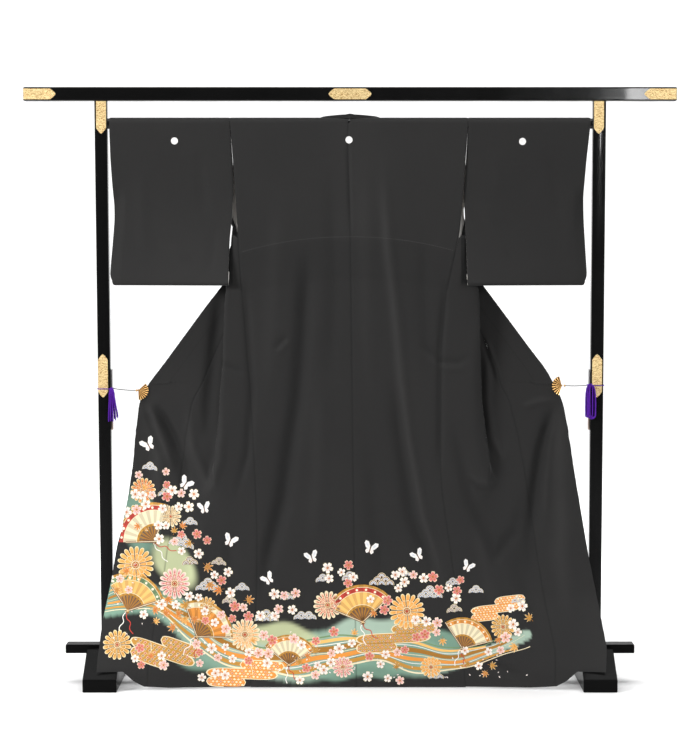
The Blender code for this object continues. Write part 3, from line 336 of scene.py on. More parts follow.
# Small creases, each with its depth, width and path of x and z. Minus is a trough.
creases = (
    (-0.0030, 0.010, ((-0.171, 0.978), (-0.193, 0.959), (-0.212, 0.937))),
    (0.0022, 0.008, ((-0.160, 0.972), (-0.186, 0.948), (-0.206, 0.925))),
    (-0.0030, 0.009, ((0.185, 0.965), (0.251, 0.909), (0.300, 0.905), (0.346, 0.931))),
    (0.0020, 0.009, ((0.180, 0.950), (0.245, 0.893), (0.300, 0.889), (0.340, 0.912))),
    (-0.0030, 0.008, ((-0.362, 0.906), (-0.326, 0.890), (-0.287, 0.876))),
    (-0.0060, 0.014, ((0.365, 1.040), (0.363, 0.797), (0.378, 0.640), (0.404, 0.560), (0.440, 0.600))),
    (0.0055, 0.012, ((0.385, 0.960), (0.386, 0.800), (0.398, 0.690), (0.425, 0.640), (0.452, 0.700))),
    (-0.0070, 0.016, ((0.278, 0.760), (0.334, 0.518), (0.404, 0.366), (0.460, 0.435), (0.488, 0.574))),
    (0.0035, 0.009, ((0.322, 0.600), (0.357, 0.571), (0.390, 0.566), (0.420, 0.590))),
    (-0.0035, 0.007, ((0.321, 0.588), (0.357, 0.557), (0.390, 0.553))),
    (-0.0075, 0.012, ((0.576, 0.797), (0.531, 0.658), (0.514, 0.546), (0.504, 0.407))),
    (0.0055, 0.010, ((0.587, 0.790), (0.560, 0.690), (0.548, 0.560), (0.545, 0.450))),
    (0.0045, 0.009, ((0.581, 0.803), (0.531, 0.794), (0.475, 0.775))),
    (-0.0040, 0.007, ((0.360, 0.984), (0.377, 0.951), (0.410, 0.839))),
    (0.0030, 0.008, ((0.375, 0.984), (0.395, 0.930), (0.426, 0.830))),
    (-0.0080, 0.016, ((-0.356, 1.130), (-0.374, 0.993), (-0.388, 0.880), (-0.397, 0.783), (-0.402, 0.660))),
    (0.0060, 0.013, ((-0.452, 0.810), (-0.440, 0.660), (-0.392, 0.552), (-0.362, 0.640), (-0.352, 0.800))),
    (-0.0060, 0.010, ((-0.560, 0.800), (-0.539, 0.783), (-0.491, 0.685), (-0.463, 0.620), (-0.440, 0.520))),
    (-0.0050, 0.009, ((-0.580, 0.790), (-0.560, 0.740), (-0.545, 0.699), (-0.519, 0.630))),
    (0.0050, 0.009, ((-0.570, 0.800), (-0.545, 0.740), (-0.515, 0.670), (-0.490, 0.590))),
    (-0.0040, 0.012, ((0.320, 0.092), (0.413, 0.064), (0.496, 0.032))),
    (-0.0030, 0.020, ((-0.060, 1.480), (-0.050, 1.300), (-0.045, 1.100), (-0.060, 0.800))),
    (0.0030, 0.022, ((0.040, 1.490), (0.045, 1.300), (0.050, 1.050), (0.060, 0.760))),
    (0.0030, 0.024, ((-0.190, 1.420), (-0.200, 1.200), (-0.215, 0.950), (-0.235, 0.700))),
    (-0.0028, 0.018, ((0.200, 1.300), (0.205, 1.150), (0.208, 1.020), (0.225, 0.800))),
    (0.0030, 0.020, ((-0.080, 0.900), (-0.085, 0.600), (-0.100, 0.350))),
    (-0.0030, 0.022, ((0.050, 0.700), (0.070, 0.450), (0.100, 0.220))),
    (-0.0035, 0.020, ((-0.330, 0.460), (-0.340, 0.300), (-0.360, 0.140))),
    (0.0035, 0.022, ((-0.400, 0.500), (-0.430, 0.330), (-0.470, 0.150))),
    (-0.0040, 0.020, ((-0.520, 0.560), (-0.550, 0.380), (-0.590, 0.200))),
    (0.0040, 0.020, ((0.350, 0.480), (0.380, 0.330), (0.420, 0.180))),
    (-0.0040, 0.022, ((0.450, 0.420), (0.480, 0.280), (0.520, 0.130))),
    (0.0035, 0.020, ((0.560, 0.440), (0.590, 0.300), (0.620, 0.170))),
)


def creaseHeight(x, z):
    total = np.zeros(np.broadcast(x, z).shape)
    for depth, width, path in creases:
        path = np.array(path)
        near = ((x > path[:, 0].min() - 4 * width) & (x < path[:, 0].max() + 4 * width)
                & (z > path[:, 1].min() - 4 * width) & (z < path[:, 1].max() + 4 * width))
        if not near.any():
            continue
        px, pz = x[near], z[near]
        runs = np.hypot(*np.diff(path, axis=0).T)
        marks = np.concatenate(([0], np.cumsum(runs))) / runs.sum()
        best = np.full(px.shape, 9.0)
        along = np.zeros(px.shape)
        for k in range(len(path) - 1):
            a, d = path[k], path[k + 1] - path[k]
            t = np.clip(((px - a[0]) * d[0] + (pz - a[1]) * d[1]) / (d @ d), 0, 1)
            away = np.hypot(px - a[0] - t * d[0], pz - a[1] - t * d[1])
            closer = away < best
            best = np.where(closer, away, best)
            along = np.where(closer, marks[k] + t * (marks[k + 1] - marks[k]), along)
        fade = ease(0, 0.3, along) * ease(0, 0.3, 1 - along)
        total[near] += depth * fade * np.exp(-(best / width) ** 2)
    return 0.009 * np.tanh(total / 0.009)


def foldHeight(x, z):
    total = creaseHeight(x, z)
    for height, width, goneTop, fullTop, fullLow, goneLow, run in longFolds:
        fade = ease(goneLow, fullLow, z) * (1 - ease(fullTop, goneTop, z))
        total = total + height * fade * np.exp(-((x - readChart(run, "x", z)) / width) ** 2)
    return total


def backLean(z):
    return -wrapRadius - (cloth["barZ"] - z) * cloth["lean"]


def backAt(side, out, z):
    x = side * out
    return np.stack([x, backLean(z) - foldHeight(x, z), z], axis=-1)


def smoothLine(points):
    for _ in range(3):
        cut = [points[0]]
        for a, b in zip(points, points[1:]):
            cut += [a * 0.75 + b * 0.25, a * 0.25 + b * 0.75]
        points = np.array(cut + [points[-1]])
    return points


def flapReach(side, z):
    low = min(z, cloth["swingLow"])
    run = readChart(sides[side], "edge", low) - readChart(drape, "fold", low)
    start = 2 * readChart(drape, "layer", low) + 2 * cloth["secondTurn"]
    rise = readChart(drape, "edgeY", low) - backLean(low) - start
    swing = float(ease(cloth["swingLow"], cloth["swingHigh"], z))
    share = min(max((z - cloth["swingLow"]) / (cloth["barZ"] - cloth["swingLow"]), 0.0), 1.0)
    length = math.hypot(run, rise) * (1 - share) + cloth["flapAtNeck"] * share
    angle = math.atan2(rise, run)
    angle += (math.pi - angle) * swing
    return length * math.cos(angle), length * math.sin(angle), rise * (1 - swing), swing


# One front at one height, from the side seam to the free edge: outward distance and depth.
def frontPlan(side, z):
    table = sides[side]
    seam, turn, edge = (readChart(table, part, z) for part in ("seam", "turn", "edge"))
    half, fold = readChart(drape, "layer", z), readChart(drape, "fold", z)
    near = 2 * half
    away = near + 2 * cloth["secondTurn"]
    far = seam + turn + half
    run, rise, bow, swing = flapReach(side, z)
    first = float(ease(0, cloth["firstLeg"], turn))
    middle = float(ease(0, cloth["middleLeg"], far - fold))
    tight = cloth["secondTurn"] * (1 - swing)
    base = away * (1 - swing) + near * swing
    clear = 0.0015 * (1 - first)
    legs = [(seam + clear, 0), (seam + turn / 2 + clear, near * (1 - first) / 3),
            (far, near * (1 - first) * 2 / 3), (far, near), ((far + fold) / 2, near),
            (fold - tight + 0.012 * swing, near), (fold - tight, base)]
    for k in range(2, 7):
        stood = (far, away * (k - 2) / 4)
        legs[k] = tuple(m * middle + n * (1 - middle) for m, n in zip(legs[k], stood))
    outer = [(fold + run * k / 4, base + rise * k / 4 + bow * k / 4 * (1 - k / 4)) for k in (1, 2, 3, 4)]
    folded = np.array(legs + outer)
    hidden = (readChart(sleeves[side], "inner", z) - seam + 0.002) * (1 - float(ease(1.42, 1.49, z)))
    loose = np.array([(seam + hidden - 0.0005 * k, near) for k in range(4)] + legs[4:] + outer)
    edgeDepth = readChart(drape, "edgeY", z) - backLean(z)
    spread = np.array([(seam + (edge - seam) * k / 10, edgeDepth * (k / 10) ** 1.3) for k in range(11)])
    atOpening = float(ease(cloth["openingEnd"] - 0.012, cloth["openingEnd"], z))
    plan = folded * (1 - atOpening) + loose * atOpening
    gap = float(openedEdge(openGaps, side, z))
    if gap > 0:
        reach = readChart(sleeves[side], "inner", z) + 0.002 - 1.5 * gap
        plan[:, 0] = np.minimum(plan[:, 0], reach)
    opened = 1 - float(ease(cloth["spread"], cloth["folded"], z))
    return smoothLine(plan * (1 - opened) + spread * opened)


chartStep = 0.0025
openingRows = np.linspace(cloth["openingEnd"] - 0.014, cloth["openingEnd"] + 0.002, 25)


def makeFrontChart(side):
    heights = np.union1d(np.linspace(cloth["hemZ"], cloth["barZ"], 400), openingRows)
    alongs = np.arange(0, 1.0, chartStep)
    out, behind, total = [], [], []
    for z in heights:
        plan = frontPlan(side, float(z))
        lengths = np.concatenate(([0.0], np.cumsum(np.hypot(*np.diff(plan, axis=0).T))))
        out.append(np.interp(alongs, lengths, plan[:, 0]))
        behind.append(np.interp(alongs, lengths, plan[:, 1]))
        total.append(lengths[-1])
    return {"heights": heights, "out": np.array(out), "behind": np.array(behind), "total": np.array(total)}


frontCharts = {side: makeFrontChart(side) for side in (-1, 1)}
clips = {-1: (-0.5997, 0.8236), 1: (0.6016, 0.8371)}  # where each clip holds the front edge, x and z
clipDepth = -0.001


def frontLength(side, z):
    return np.interp(z, frontCharts[side]["heights"], frontCharts[side]["total"])


def frontAt(side, along, z):
    data = frontCharts[side]
    z = np.clip(z, cloth["hemZ"], cloth["barZ"])
    heights = data["heights"]
    r = np.clip(np.searchsorted(heights, z, side="right") - 1, 0, len(heights) - 2)
    column = np.clip(along, 0, frontLength(side, z)) / chartStep
    c = np.minimum(column.astype(int), data["out"].shape[1] - 2)
    fr, fc = (z - heights[r]) / (heights[r + 1] - heights[r]), column - c

    def mixed(grid):
        return ((grid[r, c] * (1 - fc) + grid[r, c + 1] * fc) * (1 - fr)
                + (grid[r + 1, c] * (1 - fc) + grid[r + 1, c + 1] * fc) * fr)

    out = mixed(data["out"])
    x = side * out
    y = backLean(z) + mixed(data["behind"]) - foldHeight(x, z)
    pivotX, pivotZ = clips[side]
    flat = 1 - ease(0.035, 0.075, np.hypot(out - side * pivotX, z - pivotZ))
    return np.stack([x, y * (1 - flat) + clipDepth * flat, z], axis=-1)


def hemLift(side, along, length, z):
    table = sides[side]
    seam, edge = readChart(table, "seam", 0.0), readChart(table, "edge", 0.0)
    out = seam + (edge - seam) * along / length
    return np.interp(out, hemReach, hemLifts) * (1 - ease(cloth["hemZ"], 0.22, z))


def spacedShares(count, ends=0.5):
    t = np.linspace(0, 1, count)
    return t - ends * np.sin(2 * np.pi * t) / (2 * np.pi)


print("cloth surfaces done")


# Meshes

def addMesh(name, vertices, faces, materials, faceMaterials=None, sharp=60):
    mesh = bpy.data.meshes.new(name)
    mesh.from_pydata([tuple(map(float, v)) for v in vertices], [], faces)
    for material in materials:
        mesh.materials.append(material)
    if faceMaterials is not None:
        mesh.polygons.foreach_set("material_index", np.asarray(faceMaterials, np.int32))
    mesh.update()
    mesh.shade_smooth()
    mesh.set_sharp_from_angle(angle=math.radians(sharp))
    piece = bpy.data.objects.new(name, mesh)
    scene.collection.objects.link(piece)
    return piece


def wear(piece, slotName, *nodes):
    if nodes:
        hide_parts(*nodes)
    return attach(piece, "root")


def gridNormals(points, ring=False):
    if ring:
        rows = np.roll(points, -1, axis=0) - np.roll(points, 1, axis=0)
    else:
        rows = np.gradient(points, axis=0)
    columns = np.gradient(points, axis=1)
    normals = np.cross(columns, rows)
    return normals / np.maximum(np.linalg.norm(normals, axis=-1, keepdims=True), 1e-12)


def shellParts(points, normals, half, ring):
    rows, columns = points.shape[:2]
    vertices = np.concatenate([(points + normals * half).reshape(-1, 3), (points - normals * half).reshape(-1, 3)])
    index = np.arange(rows * columns).reshape(rows, columns)
    if ring:
        index = np.vstack([index, index[:1]])
    a, b, c, d = index[:-1, :-1], index[:-1, 1:], index[1:, 1:], index[1:, :-1]
    outer = np.stack([a, b, c, d], axis=-1).reshape(-1, 4)
    under = rows * columns
    inner = outer[:, ::-1] + under
    rims = []
    for edge in (index[:, 0], index[:, -1]) + (() if ring else (index[0], index[-1])):
        rims.append(np.stack([edge[:-1], edge[1:], edge[1:] + under, edge[:-1] + under], axis=-1))
    rim = np.concatenate(rims)
    return vertices, np.concatenate([outer, inner, rim]), (len(outer), len(inner), len(rim))


# Two layers round a grid of points: the dyed face and the lining, closed at the edges.
def clothShell(name, points, normals, dyeAndShading, liningDyeAndShading, ring=False):
    if not ring:  # the black face is turned in along the seams
        liningDyeAndShading = liningDyeAndShading.copy()
        for edge in (0, -1):
            liningDyeAndShading[edge], liningDyeAndShading[:, edge] = dyeAndShading[edge], dyeAndShading[:, edge]
    vertices, faces, (outer, inner, rim) = shellParts(points, normals, cloth["thick"] / 2, ring)
    faceMaterials = np.concatenate([np.zeros(outer), np.ones(inner), np.zeros(rim)])
    piece = addMesh(name, vertices, faces.tolist(), [blackSilk, lining], faceMaterials)
    shape = bmesh.new()
    shape.from_mesh(piece.data)
    bmesh.ops.recalc_face_normals(shape, faces=shape.faces)
    shape.to_mesh(piece.data)
    shape.free()
    colours = np.ones((len(vertices), 4), np.float32)
    under = len(vertices) // 2
    colours[:under, :3] = dyeAndShading.reshape(-1, 3)
    colours[under:, :3] = liningDyeAndShading.reshape(-1, 3)
    paint(piece, colours)
    return piece


# Each point's colour: dye and print, with painted light and shade multiplied in on the cloth and the clips.
def paint(piece, colours):
    layer = piece.data.color_attributes.new("dyeAndShading", "FLOAT_COLOR", "POINT")
    layer.data.foreach_set("color", np.ascontiguousarray(colours, np.float32).ravel())


def curveThrough(points, step=0.0045):
    points = np.array(points, float)
    for _ in range(4):
        inside = points[:-1] * 0.75 + points[1:] * 0.25, points[:-1] * 0.25 + points[1:] * 0.75
        points = np.vstack([points[:1], np.stack(inside, axis=1).reshape(-1, 2), points[-1:]])
    runs = np.concatenate(([0], np.cumsum(np.hypot(*np.diff(points, axis=0).T))))
    marks = np.linspace(0, runs[-1], max(3, int(runs[-1] / step)))
    return np.column_stack([np.interp(marks, runs, points[:, k]) for k in (0, 1)])


# The stream low on the cloth: its path of x and z, and each line's offset, width and ink.
stream = {"path": ((-0.720, 0.225), (-0.600, 0.265), (-0.480, 0.215), (-0.340, 0.100), (-0.180, 0.070),
                   (-0.040, 0.105), (0.100, 0.112), (0.220, 0.078), (0.350, 0.085), (0.490, 0.150)),
          "lines": ((-0.040, 0.0050, "cream"), (-0.029, 0.0115, "gold"), (-0.018, 0.0022, "white"),
                    (-0.008, 0.0130, "orange"), (0.002, 0.0020, "cream"), (0.013, 0.0150, "deepGold"),
                    (0.024, 0.0022, "white"), (0.033, 0.0090, "paleOrange"), (0.043, 0.0040, "leafGreen"))}

dyes = {"black": (0.0114, 0.0110, 0.0107), "liningWhite": (0.62, 0.60, 0.57), "hemLiningAndShade": (0.020, 0.020, 0.021),
        "sage": (0.190, 0.330, 0.245), "paleSage": (0.380, 0.500, 0.400), "lime": (0.480, 0.520, 0.300)}

# Soft dyed mist: middle x and z, half width and half height, lean, colour, strength.
mists = (
    (-0.585, 0.455, 0.060, 0.110, -0.35, "sage", 0.80), (-0.490, 0.345, 0.075, 0.070, -0.50, "lime", 0.90),
    (-0.190, 0.150, 0.130, 0.036, -0.10, "lime", 0.90), (0.060, 0.165, 0.150, 0.038, 0.05, "paleSage", 0.90),
    (0.215, 0.125, 0.150, 0.036, 0.08, "sage", 0.85), (-0.400, 0.085, 0.120, 0.045, -0.25, "sage", 0.85),
    (0.010, 0.052, 0.190, 0.030, 0.02, "sage", 0.80),
)
banks = {"width": 0.034, "swell": 0.034, "lobes": 0.010, "taper": 0.62}


def mistAt(x, z):
    colour = np.zeros(x.shape + (3,)) + np.array(dyes["black"])
    low = z < 0.62
    px, pz = x[low], z[low]
    some = colour[low]
    path = curveThrough(stream["path"], 0.018)
    away = np.full(px.shape, 9.0)
    share = np.zeros(px.shape)
    for k, (a, b) in enumerate(path):
        here = np.hypot(px - a, pz - b)
        share = np.where(here < away, k / (len(path) - 1), share)
        away = np.minimum(here, away)
    width = (banks["width"] + banks["swell"] * np.sin(share * math.pi) ** 0.7
             + banks["lobes"] * np.sin(share * 27)) * (1 - banks["taper"] * ease(0.10, 0.46, px))
    amount = (0.92 * (1 - ease(0.70, 1.0, away / width)))[:, None]
    tint = (0.5 + 0.5 * np.sin(px * 9 + 1.0))[:, None]
    some = some * (1 - amount) + (np.array(dyes["sage"]) * tint + np.array(dyes["paleSage"]) * (1 - tint)) * amount
    for midX, midZ, halfX, halfZ, lean, name, strength in mists:
        u = (px - midX) / halfX
        v = (pz - midZ - lean * (px - midX) - 0.007 * np.sin(px * 41 + midX * 20)) / halfZ
        amount = (strength * (1 - ease(0.62, 1.0, np.hypot(u, v))))[:, None]
        some = some * (1 - amount) + np.array(dyes[name]) * amount
    colour[low] = some
    return colour


# Along a seam the cloth draws in, and painted shade makes it darker in a line 1 to 2 mm wide. Marks are distances
# to a seam.
seams = {"dip": 0.0007, "sleeveDip": 0.0005, "dipWidth": 0.003, "dark": 0.45, "darkWidth": 0.0022}


def paintedSeamShade(shape, marks):
    tone = np.ones(shape)
    for away in marks:
        tone *= 1 - seams["dark"] * np.exp(-(away / seams["darkWidth"]) ** 2)
    return tone


def seamDip(depth, *marks):
    return depth * sum(np.exp(-(away / seams["dipWidth"]) ** 2) for away in marks)


liningChange = (0.585, 0.590)  # heights between which the white lining gives way to the dark one


def hemShare(z):
    return (1 - ease(*liningChange, z))[..., None]


# The white lining mixed with the dark one: the real dark lining near the hem, and the same dark colour used as
# painted shade at the armhole and on the spots at the right fold.
def liningDyeAndShadingAt(hemAndShade):
    return np.array(dyes["liningWhite"]) * (1 - hemAndShade) + np.array(dyes["hemLiningAndShade"]) * hemAndShade


barSteps = 16


def overBar(side, outs, k):  # one row of cloth on the round of the bar
    angle = math.pi * k / barSteps
    return np.stack([side * outs, np.full(len(outs), -wrapRadius * math.cos(angle)),
                     np.full(len(outs), cloth["barZ"] + wrapRadius * math.sin(angle))], axis=-1)


# Painted light and shade: the colour is made lighter on ridges and darker in troughs.
def paintedFoldShading(x, z):
    return np.clip(np.exp(foldHeight(x, z) * 58), 0.50, 1.45)


tuck = {"z": 1.2531, "drop": 0.0435, "half": 0.305, "band": 0.118}


def tuckLine(x):
    return tuck["z"] - tuck["drop"] * (np.abs(x) / tuck["half"]) ** 2.1


# The side fold lies in deep shade where the sleeve hangs before it.
armholeShade = {-1: {"from": 0.3235, "top": 1.275, "depth": 0.97},
                1: {"from": 0.3065, "top": 1.285, "depth": 0.97}}
shadedLining = {-1: (1.267, 2.9, 0.312), 1: (1.2558, 4.8, 0.3088)}  # height, slope and x of its upper edge
# Spots of dark lining, x, z and reach. They hide specks at the right fold in the view from the back, and
# show as two dark blotches on the white lining in the view from the front.
tightFolds = {-1: (), 1: ((0.375, 0.700, 0.045), (0.372, 0.965, 0.045))}
# Painted light: the middle of the back above the tuck is made lighter, as light comes through the single layer.
centreLight = {"amount": 0.16, "width": 0.075, "from": 1.20, "to": 1.30}
# The doubled band below the tuck: how far it stands out, and its painted shade, as less light comes through two
# layers.
tuckLook = {"rise": 0.0007, "dark": 0.10}


def buildBody(side):
    count = 104
    shares = spacedShares(count)
    backZ = np.linspace(cloth["hemZ"], cloth["barZ"], 220)
    points, edgeMarks = [], []
    for z in backZ:
        inside = side * readChart(centreLine, "x", z) + cloth["seam"] / 2
        outside = readChart(sides[side], "seam", z) - cloth["seam"] / 2
        outs = outside + (inside - outside) * shares
        points.append(backAt(side, outs, np.full(count, z)))
        edgeMarks.append((outs - inside, outside - outs))
    topOuts = outs

    def frontShares(z):
        last = frontLength(side, z) - readChart(drape, "overlap", z) - cloth["seam"] / 2
        return cloth["seam"] / 2 + (last - cloth["seam"] / 2) * shares

    frontTop = np.abs(frontAt(side, frontShares(cloth["barZ"]), np.full(count, cloth["barZ"]))[:, 0])
    for k in range(1, barSteps):
        angle = math.pi * k / barSteps
        share = k / barSteps
        inside = max(cloth["neckHalf"] * float(ease(math.radians(40), math.radians(100), angle)),
                     side * readChart(centreLine, "x", cloth["barZ"]) + cloth["seam"] / 2)
        outs = topOuts * (1 - share) + frontTop * share
        outs = inside + (outs - outs[-1]) * (outs[0] - inside) / (outs[0] - outs[-1])
        points.append(overBar(side, outs, k))
        edgeMarks.append((outs - inside, outs[0] - outs))
    for z in np.union1d(np.linspace(cloth["hemZ"], cloth["barZ"], 214), openingRows)[::-1]:
        alongs = frontShares(z)
        heights = z + hemLift(side, alongs, frontLength(side, z), z)
        points.append(frontAt(side, alongs, heights))
        edgeMarks.append((alongs[-1] - alongs, alongs))
    points = np.array(points)
    normals = gridNormals(points) * -side
    inner = np.array([m[0] for m in edgeMarks])
    outer = np.array([m[1] for m in edgeMarks])
    for away in (inner, outer):
        normals[..., 0] *= 1 - np.exp(-(away / 0.004) ** 2) * (np.abs(normals[..., 0]) < 0.7)
    normals /= np.linalg.norm(normals, axis=-1, keepdims=True)
    backRows = np.arange(len(points)) < len(backZ)
    dip = seamDip(seams["dip"], inner, outer)
    x, z = points[..., 0], points[..., 2]
    belowTuck = tuckLine(x) - z
    bandEnd = 1 - ease(tuck["band"] - 0.010, tuck["band"], belowTuck)
    doubled = backRows[:, None] * ease(0, 0.002, belowTuck) * bandEnd
    points = points + normals * (tuckLook["rise"] * doubled - dip)[..., None]
    # Painted shade along the seams.
    tone = paintedSeamShade(inner.shape, (inner, outer))
    # Painted shade on the doubled band below the tuck.
    tone = tone * (1 - tuckLook["dark"] * doubled)
    # Painted light in the middle of the back, above the tuck.
    light = centreLight["amount"] * np.exp(-(x / centreLight["width"]) ** 2)
    light = light * ease(centreLight["from"], centreLight["to"], z) * backRows[:, None]
    tone = tone * (1 + light)
    # Painted light and shade on the folds: lighter on ridges, darker in troughs.
    tone = tone * paintedFoldShading(x, z)
    gap = armholeShade[side]
    shade = ease(gap["from"], gap["from"] + 0.003, np.abs(x)) * ease(1.118, 1.128, z)
    tone = tone * (1 - gap["depth"] * shade * (1 - ease(gap["top"] - 0.008, gap["top"], z)) * ~backRows[:, None])
    dyeAndShading = mistAt(x, z) * tone[..., None]
    # Painted shade: the front's lining near the armhole takes the dark lining colour.
    height, slope, reach = shadedLining[side]
    low = height - slope * reach
    shaded = ~backRows[:, None] & (z < low + slope * np.abs(x)) & (z > 1.10) & (np.abs(x) > 0.28)
    for tightX, tightZ, reach in tightFolds[side]:
        shaded |= (np.abs(x) - tightX) ** 2 + (z - tightZ) ** 2 < reach ** 2
    hemAndShade = np.where(shaded, 1.0, hemShare(z)[..., 0])[..., None]
    piece = clothShell("body" + names[side].title(), points, normals, dyeAndShading, liningDyeAndShadingAt(hemAndShade))
    return wear(piece, "black_silk", "body_" + names[side])


def buildOkumi(side):
    shares = spacedShares(60, 0.4)
    points, fromSeam = [], []
    for z in np.concatenate([np.linspace(cloth["hemZ"], 0.8454, 230), np.linspace(0.8457, cloth["okumiTop"], 70)]):
        length = float(frontLength(side, z))
        start = length - readChart(drape, "overlap", z) + cloth["seam"] / 2
        besideCollar = z >= cloth["collarEnd"] - 0.0003
        end = length - cloth["collarWidth"] - cloth["seam"] / 2 if besideCollar else length
        alongs = start + (end - start) * shares
        points.append(frontAt(side, alongs, z + hemLift(side, alongs, length, z)))
        fromSeam.append(alongs - start)
    points, fromSeam = np.array(points), np.array(fromSeam)
    normals = gridNormals(points) * side
    points = points - normals * seamDip(seams["dip"], fromSeam)[..., None]
    x, z = points[..., 0], points[..., 2]
    # Painted shade along the seam, and painted light and shade on the folds.
    tone = paintedSeamShade(fromSeam.shape, (fromSeam,)) * paintedFoldShading(x, z)
    dyeAndShading = mistAt(x, z) * tone[..., None]
    piece = clothShell("okumi" + names[side].title(), points, normals, dyeAndShading, liningDyeAndShadingAt(hemShare(z)))
    return wear(piece, "black_silk", "okumi_" + names[side])


neckBand = chart(
    "z crownX crownY crownZ freeX freeY freeZ",
    (180, 0.066, 0.0185, 1.567, 0.0430, 0.0185, 1.541), (145, 0.064, 0.0195, 1.584, 0.0370, 0.0210, 1.547),
    (115, 0.061, 0.0160, 1.595, 0.0310, 0.0230, 1.550), (95, 0.055, 0.0125, 1.600, 0.0250, 0.0240, 1.551),
    (78, 0.040, 0.0085, 1.606, 0.0180, 0.0245, 1.551), (63, 0.022, 0.0060, 1.612, 0.0100, 0.0250, 1.550),
    (48, 0.006, 0.0050, 1.616, 0.0030, 0.0250, 1.549), (40, 0.000, 0.0045, 1.6185, 0.0000, 0.0250, 1.549))


def buildCollar():
    count = 15
    shares = np.linspace(0, 1, count)

    def neckStation(side, degrees):
        angle = math.radians(degrees)
        reach = cloth["neckHalf"] * float(ease(math.radians(40), math.radians(100), angle))
        out = reach - 0.0008 if degrees > 41 else 0.0
        turn = angle + math.radians(5) * (1 - float(ease(1.6, 2.1, angle)))
        seam = np.array([side * out, -wrapRadius * math.cos(turn), cloth["barZ"] + wrapRadius * math.sin(turn)])
        sign = np.array([side, 1, 1])
        crown, free = (np.array([readNeck(part + axis, degrees) for axis in "XYZ"]) * sign
                       for part in ("crown", "free"))
        crown[2] += 0.0030 * (1 - float(ease(0.006, 0.013, abs(crown[0]))))
        s = shares[:, None]
        return (seam * (1 - s) + crown * s) * (1 - s) + (crown * (1 - s) + free * s) * s

    def readNeck(column, degrees):
        return readChart(neckBand, column, degrees)

    halves = {}
    for side in (-1, 1):
        rows = []
        lowEnd = cloth["collarEnd"] - 0.003
        for z in np.concatenate([np.linspace(lowEnd, 1.34, 90), np.linspace(1.345, 1.545, 60)]):
            length = float(frontLength(side, z))
            start = length - cloth["collarWidth"] + cloth["seam"] / 2
            row = frontAt(side, start + (length - start) * shares, np.full(count, z))
            row[:, 1] -= 0.0013 * (1 - float(ease(lowEnd, lowEnd + 0.006, z)))
            rows.append(row)
        for degrees in np.linspace(180, 45, 30):
            rows.append(neckStation(side, degrees))
        halves[side] = rows
    points = np.array(halves[-1] + [neckStation(1, 40)] + halves[1][::-1])
    normals = -gridNormals(points)
    soften = np.arange(count) * cloth["collarWidth"] / (count - 1)
    # Painted shade along the collar's seam.
    tone = paintedSeamShade((len(points), count), (np.tile(soften, (len(points), 1)),))
    dyeAndShading = np.array(dyes["black"]) * tone[..., None]
    piece = clothShell("collar", points, normals, dyeAndShading, dyeAndShading)
    return wear(piece, "black_silk", "collar")


sleeveSize = {"bottom": 1.118, "cuff": 0.230, "lean": 0.064, "leanPower": 2.2, "leanAtCuff": 0.25,
              "corner": 0.009}
sleeveCreases = {
    -1: ((0.0020, 0.012, 1.24, 1.18, (0.505, 0.447)), (-0.0018, 0.010, 1.40, 1.34, (0.655, 0.625)),
         (-0.0016, 0.016, 1.50, 1.30, (0.420, 0.400)), (0.0016, 0.018, 1.46, 1.16, (0.580, 0.570)),
         (-0.0014, 0.014, 1.30, 1.14, (0.370, 0.390))),
    1: ((0.0022, 0.016, 1.36, 1.18, (0.360, 0.444)), (-0.0018, 0.014, 1.33, 1.17, (0.392, 0.470)),
        (-0.0016, 0.016, 1.48, 1.28, (0.560, 0.580)), (0.0015, 0.018, 1.42, 1.15, (0.620, 0.600)),
        (0.0015, 0.016, 1.50, 1.36, (0.400, 0.420)))}


def sleeveDepth(z, share):
    half = 0.0055 + (wrapRadius - 0.0055) * ease(sleeveSize["bottom"], cloth["barZ"], z) ** 1.5
    cuffLow = cloth["barZ"] - sleeveSize["cuff"]
    sewn = ease(0.90, 1.0, share) * (1 - ease(cuffLow, cuffLow + 0.06, z))
    shut = 0.00075 + cloth["gap"] + 0.0018 * (1 - ease(1.13, 1.21, z))
    return half * (1 - sewn) + shut * sewn


def sleeveLean(z, share):
    dropped = np.clip((cloth["barZ"] - z) / (cloth["barZ"] - sleeveSize["bottom"]), 0, 1)
    lean = sleeveSize["lean"] * dropped ** sleeveSize["leanPower"]
    return -lean * (1 - (1 - sleeveSize["leanAtCuff"]) * share)


